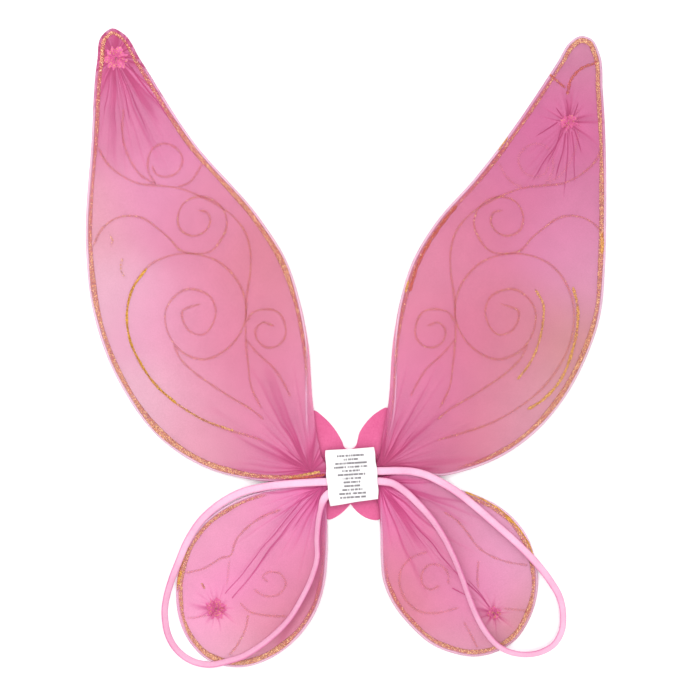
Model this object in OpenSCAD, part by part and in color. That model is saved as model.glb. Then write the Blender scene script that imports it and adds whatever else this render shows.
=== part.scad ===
// Fairy wings for a child: four nylon sleeves stretched over wire loops, gathered into one flat
// centre between a foam butterfly and a soft label, with two elastic shoulder loops.
// Millimetres. The wings lie flat with the decorated outer face down and the wearer's side up.
// +X is to the right, +Y runs towards the upper wing tips and +Z is up, towards the wearer.
// The origin is the centre of the foam pad's lower face.

/* [Wing frames] */
// Diameter of the steel wire
wire_d = 2; // [1.6:0.1:2.2]
// Room between wires that lie side by side in the centre
wire_gap = 0.3; // [0.2:0.05:0.4]
// Half of the bare stretch that is left at a bend, on each side of its line
wire_bend_gap = 0.7; // [0.6:0.05:1]

/* [Nylon sleeves] */
// Thickness of one stretched layer
nylon_t = 0.3; // [0.2:0.05:0.35]
// Room between the wire and the nylon
sleeve_gap = 0.1; // [0.05:0.05:0.2]
// Half of the opening that is left at a bend, on each side of its line
sleeve_bend_gap = 0.9; // [0.8:0.05:1.2]
// Radius of the gathered toe of a sleeve
toe_r = 4.4; // [3:0.1:6]
// Height of the gathered toe over its base
toe_h = 2.2; // [1.5:0.1:3]

/* [Centre] */
// Thickness of the foam butterfly
pad_t = 2; // [1.5:0.1:4]
// Space between the foam and the gathered sleeves
pad_gap = 0.7; // [0.6:0.05:1]
// Thickness of the thread wound round a gathered sleeve
tie_t = 0.3; // [0.2:0.05:0.35]
// Length of the tape that binds the wires
binding_l = 26; // [20:1:28]
// Thickness of the label
label_t = 0.3; // [0.2:0.05:0.6]
// Wall of the tape round the wires
tape_t = 0.4; // [0.3:0.05:0.4]

/* [Shoulder loops] */
// Width of the flat elastic
strap_w = 7; // [6:0.5:7.5]
// Thickness of the flat elastic
strap_t = 1; // [0.8:0.1:1]

/* [Hidden] */
WINGS = ["upper_left", "upper_right", "lower_left", "lower_right"];
PIECES = ["wire", "wire_legs", "cover", "cover_neck", "toe_gather", "root_tie"];

// Room left between parts that touch each other in the real thing.
touch = 0.05;
// Room over and under the wire for the two layers to lie loosely.
slack = 0.1;
sleeve_h = wire_d + 2 * (nylon_t + sleeve_gap + slack);
edge_to_wire = nylon_t + sleeve_gap + wire_d / 2 + touch;
sleeve_z = pad_t + pad_gap;
mid_z = sleeve_z + sleeve_h / 2;
top_z = sleeve_z + sleeve_h;
pitch = wire_d + wire_gap;
// The eight wire ends lie side by side in the tape.
bundle_w = 8 * pitch;
// The sleeves' necks stop this far from the middle, and their ties lie between these two distances.
neck_end = 14.5;
tie_from = 15.2;
tie_to = 17.8;
// The wires go this far into the tape's ends.
wire_in_tape = 1;
// Lumps of glue: the outer one is smaller than the tape by this much, and the inner one has this size.
glue_inset = 4;
inner_glue_w = 7;
inner_glue_l = 26;
// Free height between the elastic and the label.
label_gap = 0.7;
glue_over_strap = 0.5;
outline_step = 9;
wire_sides = 8;
strap_sides = 10;
strap_step = 18;
big = 1200;

nylon_pink = [0.91, 0.62, 0.73];
foam_pink = [0.97, 0.47, 0.67];
elastic_pink = [0.98, 0.8, 0.9];
wire_white = [0.9, 0.88, 0.92];
satin_white = [0.97, 0.97, 0.97];
glue_clear = [0.93, 0.9, 0.8];
tape_white = [0.88, 0.86, 0.84];

// Each wing's outline runs from the centre, round the wing with the wing on its left, and back.
UPPER_LEFT = [[-10, 9.5], [-15, 9.5], [-19.5, 10.2], [-23.5, 14.5], [-27.5, 28], [-33, 64],
    [-38, 122], [-46, 160], [-58, 195], [-80, 230], [-142, 302], [-189, 375], [-204, 398],
    [-214, 403], [-224, 396], [-228, 374], [-233, 302], [-238, 204], [-232, 150], [-209, 86],
    [-169, 32], [-124, 5], [-102, -1], [-83, -4.2], [-66, -5.2], [-48, -5], [-28, -3], [-20, 0.6],
    [-15, 2], [-10, 2]];
UPPER_RIGHT = [[10, -0.3], [16, -0.3], [28, 2.3], [45, 5.1], [60, 3.6], [77, 0], [106, 5.5],
    [145, 23], [168, 41], [191, 68], [211, 104], [224, 141], [229, 190], [230, 230], [227, 347],
    [224, 380], [217, 393], [207, 396], [197, 390], [187, 374], [110, 266], [78, 230], [56, 194],
    [44.5, 158], [38, 122], [33, 62], [28, 34], [24, 15.5], [19.5, 8.5], [15, 7.2], [10, 7.2]];
LOWER_LEFT = [[-10, 0.3], [-15, 0.3], [-19, -1.5], [-28, -6.5], [-52, -8.6], [-70, -11],
    [-85, -14.4], [-110, -25], [-135, -44], [-148, -64], [-156, -90], [-157, -110], [-153, -133],
    [-143, -152], [-129, -165], [-113, -171], [-97, -172], [-76, -166], [-48, -146], [-31, -122],
    [-23, -97], [-20.5, -70], [-20.5, -45], [-21, -22], [-19.5, -11.5], [-17, -8], [-15, -7.2],
    [-10, -7.2]];
LOWER_RIGHT = [[10, -9.5], [15, -9.5], [18.5, -11], [22, -16], [25, -27], [26.5, -45], [27, -70],
    [29.5, -95], [37, -113], [54, -135], [74, -152], [91, -159], [112, -162.5], [132, -158],
    [150, -146], [160, -131], [167, -112], [169, -92], [166, -73], [159, -54], [148, -39],
    [132, -26], [115, -17.5], [97, -11], [85, -5.9], [74, -1.9], [64, 0.7], [53, 2.6], [43, 2.5],
    [33, 1.2], [24, -1.2], [15, -2], [10, -2]];
OUTLINES = [UPPER_LEFT, UPPER_RIGHT, LOWER_LEFT, LOWER_RIGHT];

// The line just outside each wire. It is the sleeve's outline, except that beside the centre the upper
// wings' wires run farther in, and the nylon spreads past them.
UPPER_LEFT_FRAME = concat(
    [[-10, 9.5], [-22, 9.6], [-30, 13], [-35, 23], [-37.3, 40], [-38.2, 62], [-38.3, 90], [-39, 122]],
    [for (i = [7 : len(UPPER_LEFT) - 1]) UPPER_LEFT[i]]);
UPPER_RIGHT_FRAME = concat(
    [for (i = [0 : 23]) UPPER_RIGHT[i]],
    [[39.5, 122], [39.3, 88], [37.5, 56], [34, 35], [30, 16], [24, 8.2], [15, 7.2], [10, 7.2]]);
FRAMES = [UPPER_LEFT_FRAME, UPPER_RIGHT_FRAME, LOWER_LEFT, LOWER_RIGHT];

// Each wing bends along a straight line beside the foam, which has the wing on its left.
BENDS = [[[-71, -2.5], [-34.5, 76]], [[36.5, 76], [71, -2]], [[-20.5, -49], [-54.5, -11]],
    [[61, -7], [26.5, -49]]];

// Middle of each sleeve's gathered toe.
TOES = [[-209, 377], [196, 318], [-121, -119], [129, -124]];

// Side of the object that each wing's wires come from.
SIDES = [-1, 1, -1, 1];

// Foam butterfly: one curve for each lobe, from a notch or the waist to the next one.
LOBES = [
    [[0, 24], [3, 25.5], [8.5, 40], [16, 50.5], [24, 57.5], [33, 61.5], [38, 54], [42.5, 40],
        [44, 24], [38, 7], [30, -2.5]],
    [[30, -2.5], [38, -8], [42, -17], [38, -27], [32, -35], [25, -39.3], [14, -37.5], [6, -32],
        [0, -25]],
    [[0, -25], [-5, -30.5], [-11, -35.5], [-19.5, -39], [-27, -34.5], [-34, -25], [-38, -15], [-36, -7],
        [-30, -2.5]],
    [[-30, -2.5], [-38, 7], [-43, 22], [-42, 37], [-38.5, 49], [-33.5, 59], [-23.5, 52.5],
        [-14, 42], [-8, 32], [-4.5, 25], [0, 24]]];

LABEL = [[-22.5, 23], [21, 26], [25, -20], [-18.5, -26.5]];

// Route of each shoulder loop, along the middle of its band.
LEFT_STRAP = [[-5, -4.5, 6.75], [-14, -4.6, 6.75], [-23, -4.9, 6.7], [-45, -6, 6.5],
    [-60, -7.2, 6.4], [-77, -9.3, 6.2], [-99, -14.8, 5.9], [-116, -24, 5.5], [-134, -39.5, 5.1],
    [-146, -57.5, 4.8], [-154, -76, 4.5], [-161, -94, 3.6], [-165.5, -110, 1.4],
    [-167, -120, 0.7], [-166.5, -130, 0.65], [-165, -139, 0.65], [-161, -149, 0.8],
    [-154, -158, 1.6], [-145, -164.5, 3], [-135, -168, 3.9], [-125, -169, 3.95],
    [-111, -166, 4.1], [-98, -162, 4.3], [-84, -154, 4.55], [-71, -144, 4.8], [-56, -129, 5.15],
    [-43, -108, 5.55], [-35, -91, 5.85], [-30, -73, 6.1], [-30.2, -57, 6.3], [-29.2, -43, 6.45],
    [-26.8, -29.5, 6.5], [-23.2, -19, 6.6], [-15, -12.9, 6.75], [-5, -12.6, 6.75]];
RIGHT_STRAP = [[5, 4.6, 6.75], [14, 4.7, 6.75], [27, 4.8, 6.6], [43, 5.1, 6.5], [55, 4.5, 6.5],
    [67, 1.6, 6.4], [81, -5, 6.25], [97, -15, 5.9], [112, -27, 5.55], [128, -41, 5.2],
    [144, -55, 4.85], [157, -67.5, 4.55], [169.5, -81, 4.1], [180, -95, 2.3], [188, -109, 0.8],
    [191, -125, 0.65], [189.5, -140, 0.65], [183, -151, 0.7], [171, -158, 1.5], [158, -160, 3],
    [148, -159, 3.8], [140, -156.5, 3.9], [131, -151, 4], [121.5, -140, 4.25], [113, -125, 4.5],
    [106.5, -109, 4.75], [101, -93.5, 5], [95, -78, 5.25], [89.5, -66, 5.45], [81.5, -51, 5.7],
    [71, -36, 6], [60, -24, 6.3], [48, -12.8, 6.5], [37, -6, 6.55], [26, -4.4, 6.65],
    [14, -4.3, 6.75], [5, -4.3, 6.75]];

// Slope of the smooth curve at point i: the mean of its two chords, the shorter one counting more.
function slope(p, i) =
    i == 0 ? (p[1] - p[0]) / norm(p[1] - p[0]) :
    i == len(p) - 1 ? (p[i] - p[i - 1]) / norm(p[i] - p[i - 1]) :
    let (a = p[i] - p[i - 1], b = p[i + 1] - p[i], la = norm(a), lb = norm(b))
        (a / la * lb + b / lb * la) / (la + lb);

// Cubic curve from a to b with end slopes m and n, at t from 0 to 1.
function cubic(a, b, m, n, t) =
    a * (2 * t ^ 3 - 3 * t ^ 2 + 1) + m * (t ^ 3 - 2 * t ^ 2 + t) + b * (3 * t ^ 2 - 2 * t ^ 3) +
        n * (t ^ 3 - t ^ 2);

// Points about one step apart on the smooth curve through p.
function curve(p, step) = [
    for (i = [0 : len(p) - 2])
        let (chord = norm(p[i + 1] - p[i]), n = max(1, ceil(chord / step)))
            for (k = [0 : n - 1])
                cubic(p[i], p[i + 1], slope(p, i) * chord, slope(p, i + 1) * chord, k / n),
    p[len(p) - 1]];

// The curve q moved by d to its left, which is into the wing for an outline.
function inset(q, d) = [
    for (i = [0 : len(q) - 1])
        let (t = q[min(i + 1, len(q) - 1)] - q[max(i - 1, 0)])
            q[i] + d / norm(t) * [-t[1], t[0]]];

// Unit normal of wing w's bend line, pointing out into the wing.
function out_of_bend(w) =
    let (t = BENDS[w][1] - BENDS[w][0]) [-t[1], t[0]] / norm(t);

// Distance from wing w's bend line to the farthest point of its outline.
function reach(w) = max([for (q = curve(OUTLINES[w],
    outline_step)) (q - BENDS[w][0]) * out_of_bend(w)]);

// Corners of a square with rounded corners of radius r.
function rounded(w, h, r) = [
    for (k = [0 : 3], s = [0 : 4])
        let (a = 90 * k + 22.5 * s, sx = k == 0 || k == 3 ? 1 : -1, sy = k < 2 ? 1 : -1)
            [sx * (w / 2 - r) + r * cos(a), sy * (h / 2 - r) + r * sin(a)]];

// A tube along the points q. Its section is an ellipse of width w, lying level, and thickness t.
module sweep(q, w, t, sides) {
    rings = [
        for (i = [0 : len(q) - 1])
            let (along = q[min(i + 1, len(q) - 1)] - q[max(i - 1, 0)],
                flat = cross(along, [0, 0, 1]), across = flat / norm(flat),
                up_way = cross(across, along), up = up_way / norm(up_way))
                for (k = [0 : sides - 1])
                    let (a = 360 * (k + 0.5) / sides)
                        q[i] + across * w / 2 * cos(a) + up * t / 2 * sin(a)];
    last = (len(q) - 1) * sides;
    polyhedron(rings, [
        [for (k = [0 : sides - 1]) k],
        for (i = [0 : len(q) - 2], k = [0 : sides - 1])
            let (a = i * sides + k, b = i * sides + (k + 1) % sides) [a, a + sides, b + sides, b],
        [for (k = [sides - 1 : -1 : 0]) last + k]]);
}

// A block that covers one side of wing w's bend line, beyond d: the wing's side, or the centre's.
module beyond_bend(w, d, wing_side) {
    t = BENDS[w][1] - BENDS[w][0];
    turn = atan2(t[1], t[0]);
    translate([BENDS[w][0][0], BENDS[w][0][1], 0])
        rotate([0, 0, turn])
            translate([-big / 2, wing_side ? d : -d - big, -big / 2])
                cube([big, big, big]);
}

// Lets wing w droop from its bend line until its tip lies on the table.
module droop(w) {
    t = BENDS[w][1] - BENDS[w][0];
    pivot = [BENDS[w][0][0], BENDS[w][0][1], mid_z];
    translate(pivot)
        rotate(a = -asin(sleeve_z / reach(w)), v = [t[0], t[1], 0])
            translate(-pivot)
                children();
}

// The flat shape of wing w, made smaller all round by d.
module flat_wing(w, d) {
    polygon(inset(curve(OUTLINES[w], outline_step), d));
}

// The centre's block of width 2 x, which the sleeves stop short of.
module centre_block(x) {
    translate([-x, -big / 2, -big / 2])
        cube([2 * x, big, big]);
}

// One whole sleeve, with both its layers, before it is parted at the bend.
module sleeve(w) {
    difference() {
        translate([0, 0, sleeve_z])
            linear_extrude(sleeve_h)
                flat_wing(w, 0);
        translate([0, 0, sleeve_z + nylon_t])
            linear_extrude(sleeve_h - 2 * nylon_t)
                flat_wing(w, nylon_t);
        centre_block(neck_end);
    }
}

// The points along the wire of wing w, which starts and ends inside the binding tape.
function wire_points(w) =
    let (loop = inset(curve(FRAMES[w], outline_step), edge_to_wire), n = len(loop) - 1,
        start = -SIDES[w] * (binding_l / 2 - wire_in_tape))
        [[start, loop[0][1], mid_z], for (p = loop) [p[0], p[1], mid_z], [start, loop[n][1], mid_z]];

module whole_wire(w) {
    sweep(wire_points(w), wire_d, wire_d, wire_sides);
}

module wire(w) {
    color(wire_white)
        droop(w)
            intersection() {
                whole_wire(w);
                beyond_bend(w, wire_bend_gap, true);
            }
}

module wire_legs(w) {
    color(wire_white)
        intersection() {
            whole_wire(w);
            beyond_bend(w, wire_bend_gap, false);
        }
}

module cover(w) {
    color(nylon_pink, 0.8)
        droop(w)
            difference() {
                sleeve(w);
                beyond_bend(w, -sleeve_bend_gap, false);
                translate([TOES[w][0], TOES[w][1], top_z - nylon_t - touch])
                    cylinder(r = toe_r + 2 * touch, h = 1, $fn = 48);
            }
}

module cover_neck(w) {
    color(nylon_pink)
        difference() {
            sleeve(w);
            beyond_bend(w, -sleeve_bend_gap, true);
        }
}

module toe_gather(w) {
    color(nylon_pink)
        droop(w)
            translate([TOES[w][0], TOES[w][1], top_z - nylon_t])
                rotate_extrude($fn = 48)
                    polygon([[0, 0], [toe_r, 0], [toe_r, 0.2 * toe_h], [0.85 * toe_r, 0.6 * toe_h],
                        [0.5 * toe_r, 0.93 * toe_h], [0, toe_h]]);
}

module root_tie(w) {
    outer = touch + tie_t;
    color(satin_white)
        intersection() {
            difference() {
                translate([0, 0, sleeve_z - outer])
                    linear_extrude(sleeve_h + 2 * outer)
                        flat_wing(w, -outer);
                translate([0, 0, sleeve_z - touch])
                    linear_extrude(sleeve_h + 2 * touch)
                        flat_wing(w, -touch);
            }
            translate([SIDES[w] > 0 ? tie_from : -tie_to, -big / 2, -big / 2])
                cube([tie_to - tie_from, big, big]);
        }
}

module outer_pad() {
    color(foam_pink)
        linear_extrude(pad_t)
            polygon([for (lobe = LOBES, q = curve(lobe, 4)) q]);
}

module outer_glue() {
    color(glue_clear)
        translate([0, 0, pad_t + touch])
            linear_extrude(pad_gap - 2 * touch)
                polygon(rounded(binding_l - glue_inset, bundle_w - 1, 3));
}

module centre_binding() {
    color(tape_white)
        translate([-binding_l / 2, 0, mid_z])
            rotate([90, 0, 90])
                linear_extrude(binding_l)
                    difference() {
                        polygon(rounded(bundle_w + 2 * tape_t, sleeve_h, 1));
                        polygon(rounded(bundle_w + 2 * touch, sleeve_h - 2 * tape_t, 0.6));
                    }
}

module inner_glue() {
    color(glue_clear)
        translate([0, 0, top_z + touch])
            linear_extrude(strap_t + glue_over_strap)
                polygon(rounded(inner_glue_w, inner_glue_l, 2.5));
}

module label() {
    color(satin_white)
        translate([0, 0, top_z + strap_t + label_gap])
            linear_extrude(label_t)
                polygon(LABEL);
}

module left_strap() {
    color(elastic_pink)
        sweep(curve(LEFT_STRAP, strap_step), strap_w, strap_t, strap_sides);
}

module right_strap() {
    color(elastic_pink)
        sweep(curve(RIGHT_STRAP, strap_step), strap_w, strap_t, strap_sides);
}

outer_pad();
outer_glue();
centre_binding();
inner_glue();
label();
left_strap();
right_strap();
for (w = [0 : 3]) {
    wire(w);
    wire_legs(w);
    cover(w);
    cover_neck(w);
    toe_gather(w);
    root_tie(w);
}
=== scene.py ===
"""Looks of a child's fairy wings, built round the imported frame.

Four nylon sleeves are stretched over wire hoops and gathered under a soft label, in front of a
foam butterfly. Gold swirls are printed on the outer face, and two elastics go round the
shoulders. Everything is in metres: +X to the right, +Y towards the upper tips, +Z towards the
wearer.
"""

import logging
import math
from collections.abc import Callable
from dataclasses import dataclass, field, replace
from enum import Enum

import bmesh
import bpy
import numpy as np
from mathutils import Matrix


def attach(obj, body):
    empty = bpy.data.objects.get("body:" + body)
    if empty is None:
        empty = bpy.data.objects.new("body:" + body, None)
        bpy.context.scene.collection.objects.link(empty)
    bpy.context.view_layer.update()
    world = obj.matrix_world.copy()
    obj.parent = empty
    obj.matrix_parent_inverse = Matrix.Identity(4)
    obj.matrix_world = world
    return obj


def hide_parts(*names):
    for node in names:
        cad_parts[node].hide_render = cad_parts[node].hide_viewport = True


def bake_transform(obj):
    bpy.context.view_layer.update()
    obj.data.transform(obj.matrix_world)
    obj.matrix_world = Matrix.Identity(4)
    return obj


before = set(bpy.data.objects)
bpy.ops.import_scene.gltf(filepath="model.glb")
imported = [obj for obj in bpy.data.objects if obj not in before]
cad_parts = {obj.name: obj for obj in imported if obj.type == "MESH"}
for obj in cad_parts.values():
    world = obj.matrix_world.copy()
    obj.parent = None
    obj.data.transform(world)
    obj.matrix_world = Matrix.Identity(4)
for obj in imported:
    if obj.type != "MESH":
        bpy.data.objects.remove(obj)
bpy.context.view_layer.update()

Array = np.ndarray
Piece, Material = bpy.types.Object, bpy.types.Material
Socket, Node, Tree = bpy.types.NodeSocket, bpy.types.Node, bpy.types.NodeTree
LOG = logging.getLogger("wings")

MM = 0.001
MID_Z = 4.2 * MM
SLEEVE_Z = 2.7 * MM
EDGE_TO_WIRE = 1.45 * MM
NECK_END = 14.5 * MM
WIRE_RADIUS = 1.0 * MM
RIM_GAP = 1.2 * MM
MIDDLE_GAP = 0.65 * MM
TENT = 5.0 * MM
BINDING_HALF = 12.0 * MM
BLEND_HALF = 6.0 * MM
PRINT_INSET = 4.4 * MM
PRINT_START = 40 * MM
PRINT_HEIGHT = 0.34 * MM
RIGHT_INSIDE = 226.5
CUBIC_STEPS = 32
WELD = 0.002 * MM


def mm(points: list) -> Array:
    """Points given in millimetres, in metres."""
    return np.array(points, float) * MM


# The lines below are the sleeves' outlines, the wires' lines, the foam and the straps' routes, which
# say in millimetres what the CAD part says.
UPPER_LEFT = mm([
    (-10, 9.5), (-15, 9.5), (-19.5, 10.2), (-23.5, 14.5), (-27.5, 28), (-33, 64), (-38, 122), (-46, 160),
    (-58, 195), (-80, 230), (-142, 302), (-189, 375), (-204, 398), (-214, 403), (-224, 396), (-228, 374),
    (-233, 302), (-238, 204), (-232, 150), (-209, 86), (-169, 32), (-124, 5), (-102, -1), (-83, -4.2),
    (-66, -5.2), (-48, -5), (-28, -3), (-20, 0.6), (-15, 2), (-10, 2)])
UPPER_RIGHT = mm([
    (10, -0.3), (16, -0.3), (28, 2.3), (45, 5.1), (60, 3.6), (77, 0), (106, 5.5), (145, 23), (168, 41),
    (191, 68), (211, 104), (224, 141), (229, 190), (230, 230), (227, 347), (224, 380), (217, 393),
    (207, 396), (197, 390), (187, 374), (110, 266), (78, 230), (56, 194), (44.5, 158), (38, 122), (33, 62),
    (28, 34), (24, 15.5), (19.5, 8.5), (15, 7.2), (10, 7.2)])
LOWER_LEFT = mm([
    (-10, 0.3), (-15, 0.3), (-19, -1.5), (-28, -6.5), (-52, -8.6), (-70, -11), (-85, -14.4), (-110, -25),
    (-135, -44), (-148, -64), (-156, -90), (-157, -110), (-153, -133), (-143, -152), (-129, -165),
    (-113, -171), (-97, -172), (-76, -166), (-48, -146), (-31, -122), (-23, -97), (-20.5, -70),
    (-20.5, -45), (-21, -22), (-19.5, -11.5), (-17, -8), (-15, -7.2), (-10, -7.2)])
LOWER_RIGHT = mm([
    (10, -9.5), (15, -9.5), (18.5, -11), (22, -16), (25, -27), (26.5, -45), (27, -70), (29.5, -95),
    (37, -113), (54, -135), (74, -152), (91, -159), (112, -162.5), (132, -158), (150, -146), (160, -131),
    (167, -112), (169, -92), (166, -73), (159, -54), (148, -39), (132, -26), (115, -17.5), (97, -11),
    (85, -5.9), (74, -1.9), (64, 0.7), (53, 2.6), (43, 2.5), (33, 1.2), (24, -1.2), (15, -2), (10, -2)])
UPPER_LEFT_FRAME = np.vstack([
    mm([(-10, 9.5), (-22, 9.6), (-30, 13), (-35, 23), (-37.3, 40), (-38.2, 62), (-38.3, 90), (-39, 122)]),
    UPPER_LEFT[7:]])
UPPER_RIGHT_FRAME = np.vstack([
    UPPER_RIGHT[:24],
    mm([(39.5, 122), (39.3, 88), (37.5, 56), (34, 35), (30, 16), (24, 8.2), (15, 7.2), (10, 7.2)])])

BUTTERFLY = mm([
    (0, 24), (3, 25.5), (8.5, 40), (16, 50.5), (24, 57.5), (33, 61.5), (38, 54), (42.5, 40), (44, 24),
    (38, 7), (30, -2.5), (38, -8), (42, -17), (38, -27), (32, -35), (25, -39.3), (14, -37.5), (6, -32),
    (0, -25), (-5, -30.5), (-11, -35.5), (-19.5, -39), (-27, -34.5), (-34, -25), (-38, -15), (-36, -7),
    (-30, -2.5), (-38, 7), (-43, 22), (-42, 37), (-38.5, 49), (-33.5, 59), (-23.5, 52.5), (-14, 42),
    (-8, 32), (-4.5, 25), (0, 24)])
BUTTERFLY_CORNERS = (0, 10, 18, 26, 36)

LEFT_ROUTE = mm([
    (-5, -4.5, 6.75), (-14, -4.6, 6.75), (-23, -4.9, 6.7), (-45, -6, 6.5), (-60, -7.2, 6.4),
    (-77, -9.3, 6.2), (-99, -14.8, 5.9), (-116, -24, 5.5), (-134, -39.5, 5.1), (-146, -57.5, 4.8),
    (-154, -76, 4.5), (-161, -94, 3.6), (-165.5, -110, 1.4), (-167, -120, 0.7), (-166.5, -130, 0.65),
    (-165, -139, 0.65), (-161, -149, 0.8), (-154, -158, 1.6), (-145, -164.5, 3), (-135, -168, 3.9),
    (-125, -169, 3.95), (-111, -166, 4.1), (-98, -162, 4.3), (-84, -154, 4.55), (-71, -144, 4.8),
    (-56, -129, 5.15), (-43, -108, 5.55), (-35, -91, 5.85), (-30, -73, 6.1), (-30.2, -57, 6.3),
    (-29.2, -43, 6.45), (-26.8, -29.5, 6.5), (-23.2, -19, 6.6), (-15, -12.9, 6.75), (-5, -12.6, 6.75)])
RIGHT_ROUTE = mm([
    (5, 4.6, 6.75), (14, 4.7, 6.75), (27, 4.8, 6.6), (43, 5.1, 6.5), (55, 4.5, 6.5), (67, 1.6, 6.4),
    (81, -5, 6.25), (97, -15, 5.9), (112, -27, 5.55), (128, -41, 5.2), (144, -55, 4.85), (157, -67.5, 4.55),
    (169.5, -81, 4.1), (180, -95, 2.3), (188, -109, 0.8), (191, -125, 0.65), (189.5, -140, 0.65),
    (183, -151, 0.7), (171, -158, 1.5), (158, -160, 3), (148, -159, 3.8), (140, -156.5, 3.9),
    (131, -151, 4), (121.5, -140, 4.25), (113, -125, 4.5), (106.5, -109, 4.75), (101, -93.5, 5),
    (95, -78, 5.25), (89.5, -66, 5.45), (81.5, -51, 5.7), (71, -36, 6), (60, -24, 6.3), (48, -12.8, 6.5),
    (37, -6, 6.55), (26, -4.4, 6.65), (14, -4.3, 6.75), (5, -4.3, 6.75)])

# Share of the route, and the band's turn about it in degrees.
LEFT_TWISTS = ((0, 0), (0.15, 0), (0.3, 22), (0.45, 38), (0.55, 42), (0.7, 50), (0.85, 52), (1, 50))
RIGHT_TWISTS = ((0, 0), (0.15, 16), (0.35, 24), (0.5, 36), (0.6, 44), (0.75, 50), (0.9, 24), (1, 0))


def run_of(path: Array) -> Array:
    """Length of a path from its start to each of its points."""
    return np.concatenate([[0.0], np.cumsum(np.linalg.norm(np.diff(path, axis=0), axis=1))])


def resample(path: Array, shares: Array, run: Array | None = None) -> Array:
    """The rows of path at shares of its length, from 0 to 1.

    Args:
        path: Rows of any number of columns.
        shares: Shares of the whole length.
        run: Length at each row, where it isn't that of the columns themselves.

    Returns:
        One row for each share, on straight lines between the rows of path.
    """
    run = run_of(path) if run is None else run
    return np.column_stack([np.interp(shares * run[-1], run, column) for column in path.T])


def smooth_curve(points: Array, step: float) -> Array:
    """A smooth curve through points, as an even row of points about one step apart.

    Formula: the slope at a point is the mean of the directions of its two chords, the shorter
    chord counting more, and each stretch is the cubic that has those slopes at its ends.

    Args:
        points: Two or three columns.
        step: Spacing of the result.

    Returns:
        The evenly spaced points.
    """
    chord = np.diff(points, axis=0)
    length = np.linalg.norm(chord, axis=1, keepdims=True)
    unit = chord / length
    inner = (unit[:-1] * length[1:] + unit[1:] * length[:-1]) / (length[:-1] + length[1:])
    slope = np.vstack([unit[:1], inner, unit[-1:]])
    t = np.linspace(0, 1, CUBIC_STEPS, endpoint=False)[None, :, None]
    a, b = points[:-1, None], points[1:, None]
    m, n = (slope[:-1] * length)[:, None], (slope[1:] * length)[:, None]
    dense = (a * (2 * t**3 - 3 * t**2 + 1) + m * (t**3 - 2 * t**2 + t)
             + b * (3 * t**2 - 2 * t**3) + n * (t**3 - t**2))
    dense = np.vstack([dense.reshape(-1, points.shape[1]), points[-1:]])
    count = max(2, math.ceil(run_of(dense)[-1] / step) + 1)
    return resample(dense, np.linspace(0, 1, count))


def left_of(path: Array) -> Array:
    """Level unit vectors to the left of a path's direction of travel.

    Args:
        path: Points of two or three columns.

    Returns:
        One vector of two columns for each point.
    """
    along = np.gradient(path[:, :2], axis=0)
    along /= np.linalg.norm(along, axis=1, keepdims=True)
    return np.column_stack([-along[:, 1], along[:, 0]])


def nearest(xy: Array, line: Array) -> Array:
    """Distance from each of xy to line.

    Formula: the nearest point of the line is found first, then the nearest place on the straight
    pieces before and after it.

    Args:
        xy: Level points.
        line: Level points in order.

    Returns:
        One distance for each of xy.
    """
    square = (line**2).sum(1)[None] - 2 * xy @ line.T
    at = square.argmin(1)
    away = np.full(len(xy), np.inf)
    for first in (np.maximum(at - 1, 0), np.minimum(at, len(line) - 2)):
        start, way = line[first], line[first + 1] - line[first]
        share = np.clip(((xy - start) * way).sum(1) / (way**2).sum(1), 0, 1)
        away = np.minimum(away, np.linalg.norm(xy - start - share[:, None] * way, axis=1))
    return away


def smooth_step(value: Array) -> Array:
    """0 below 0, 1 above 1, and a smooth rise between."""
    held = np.clip(value, 0, 1)
    return held * held * (3 - 2 * held)


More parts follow.
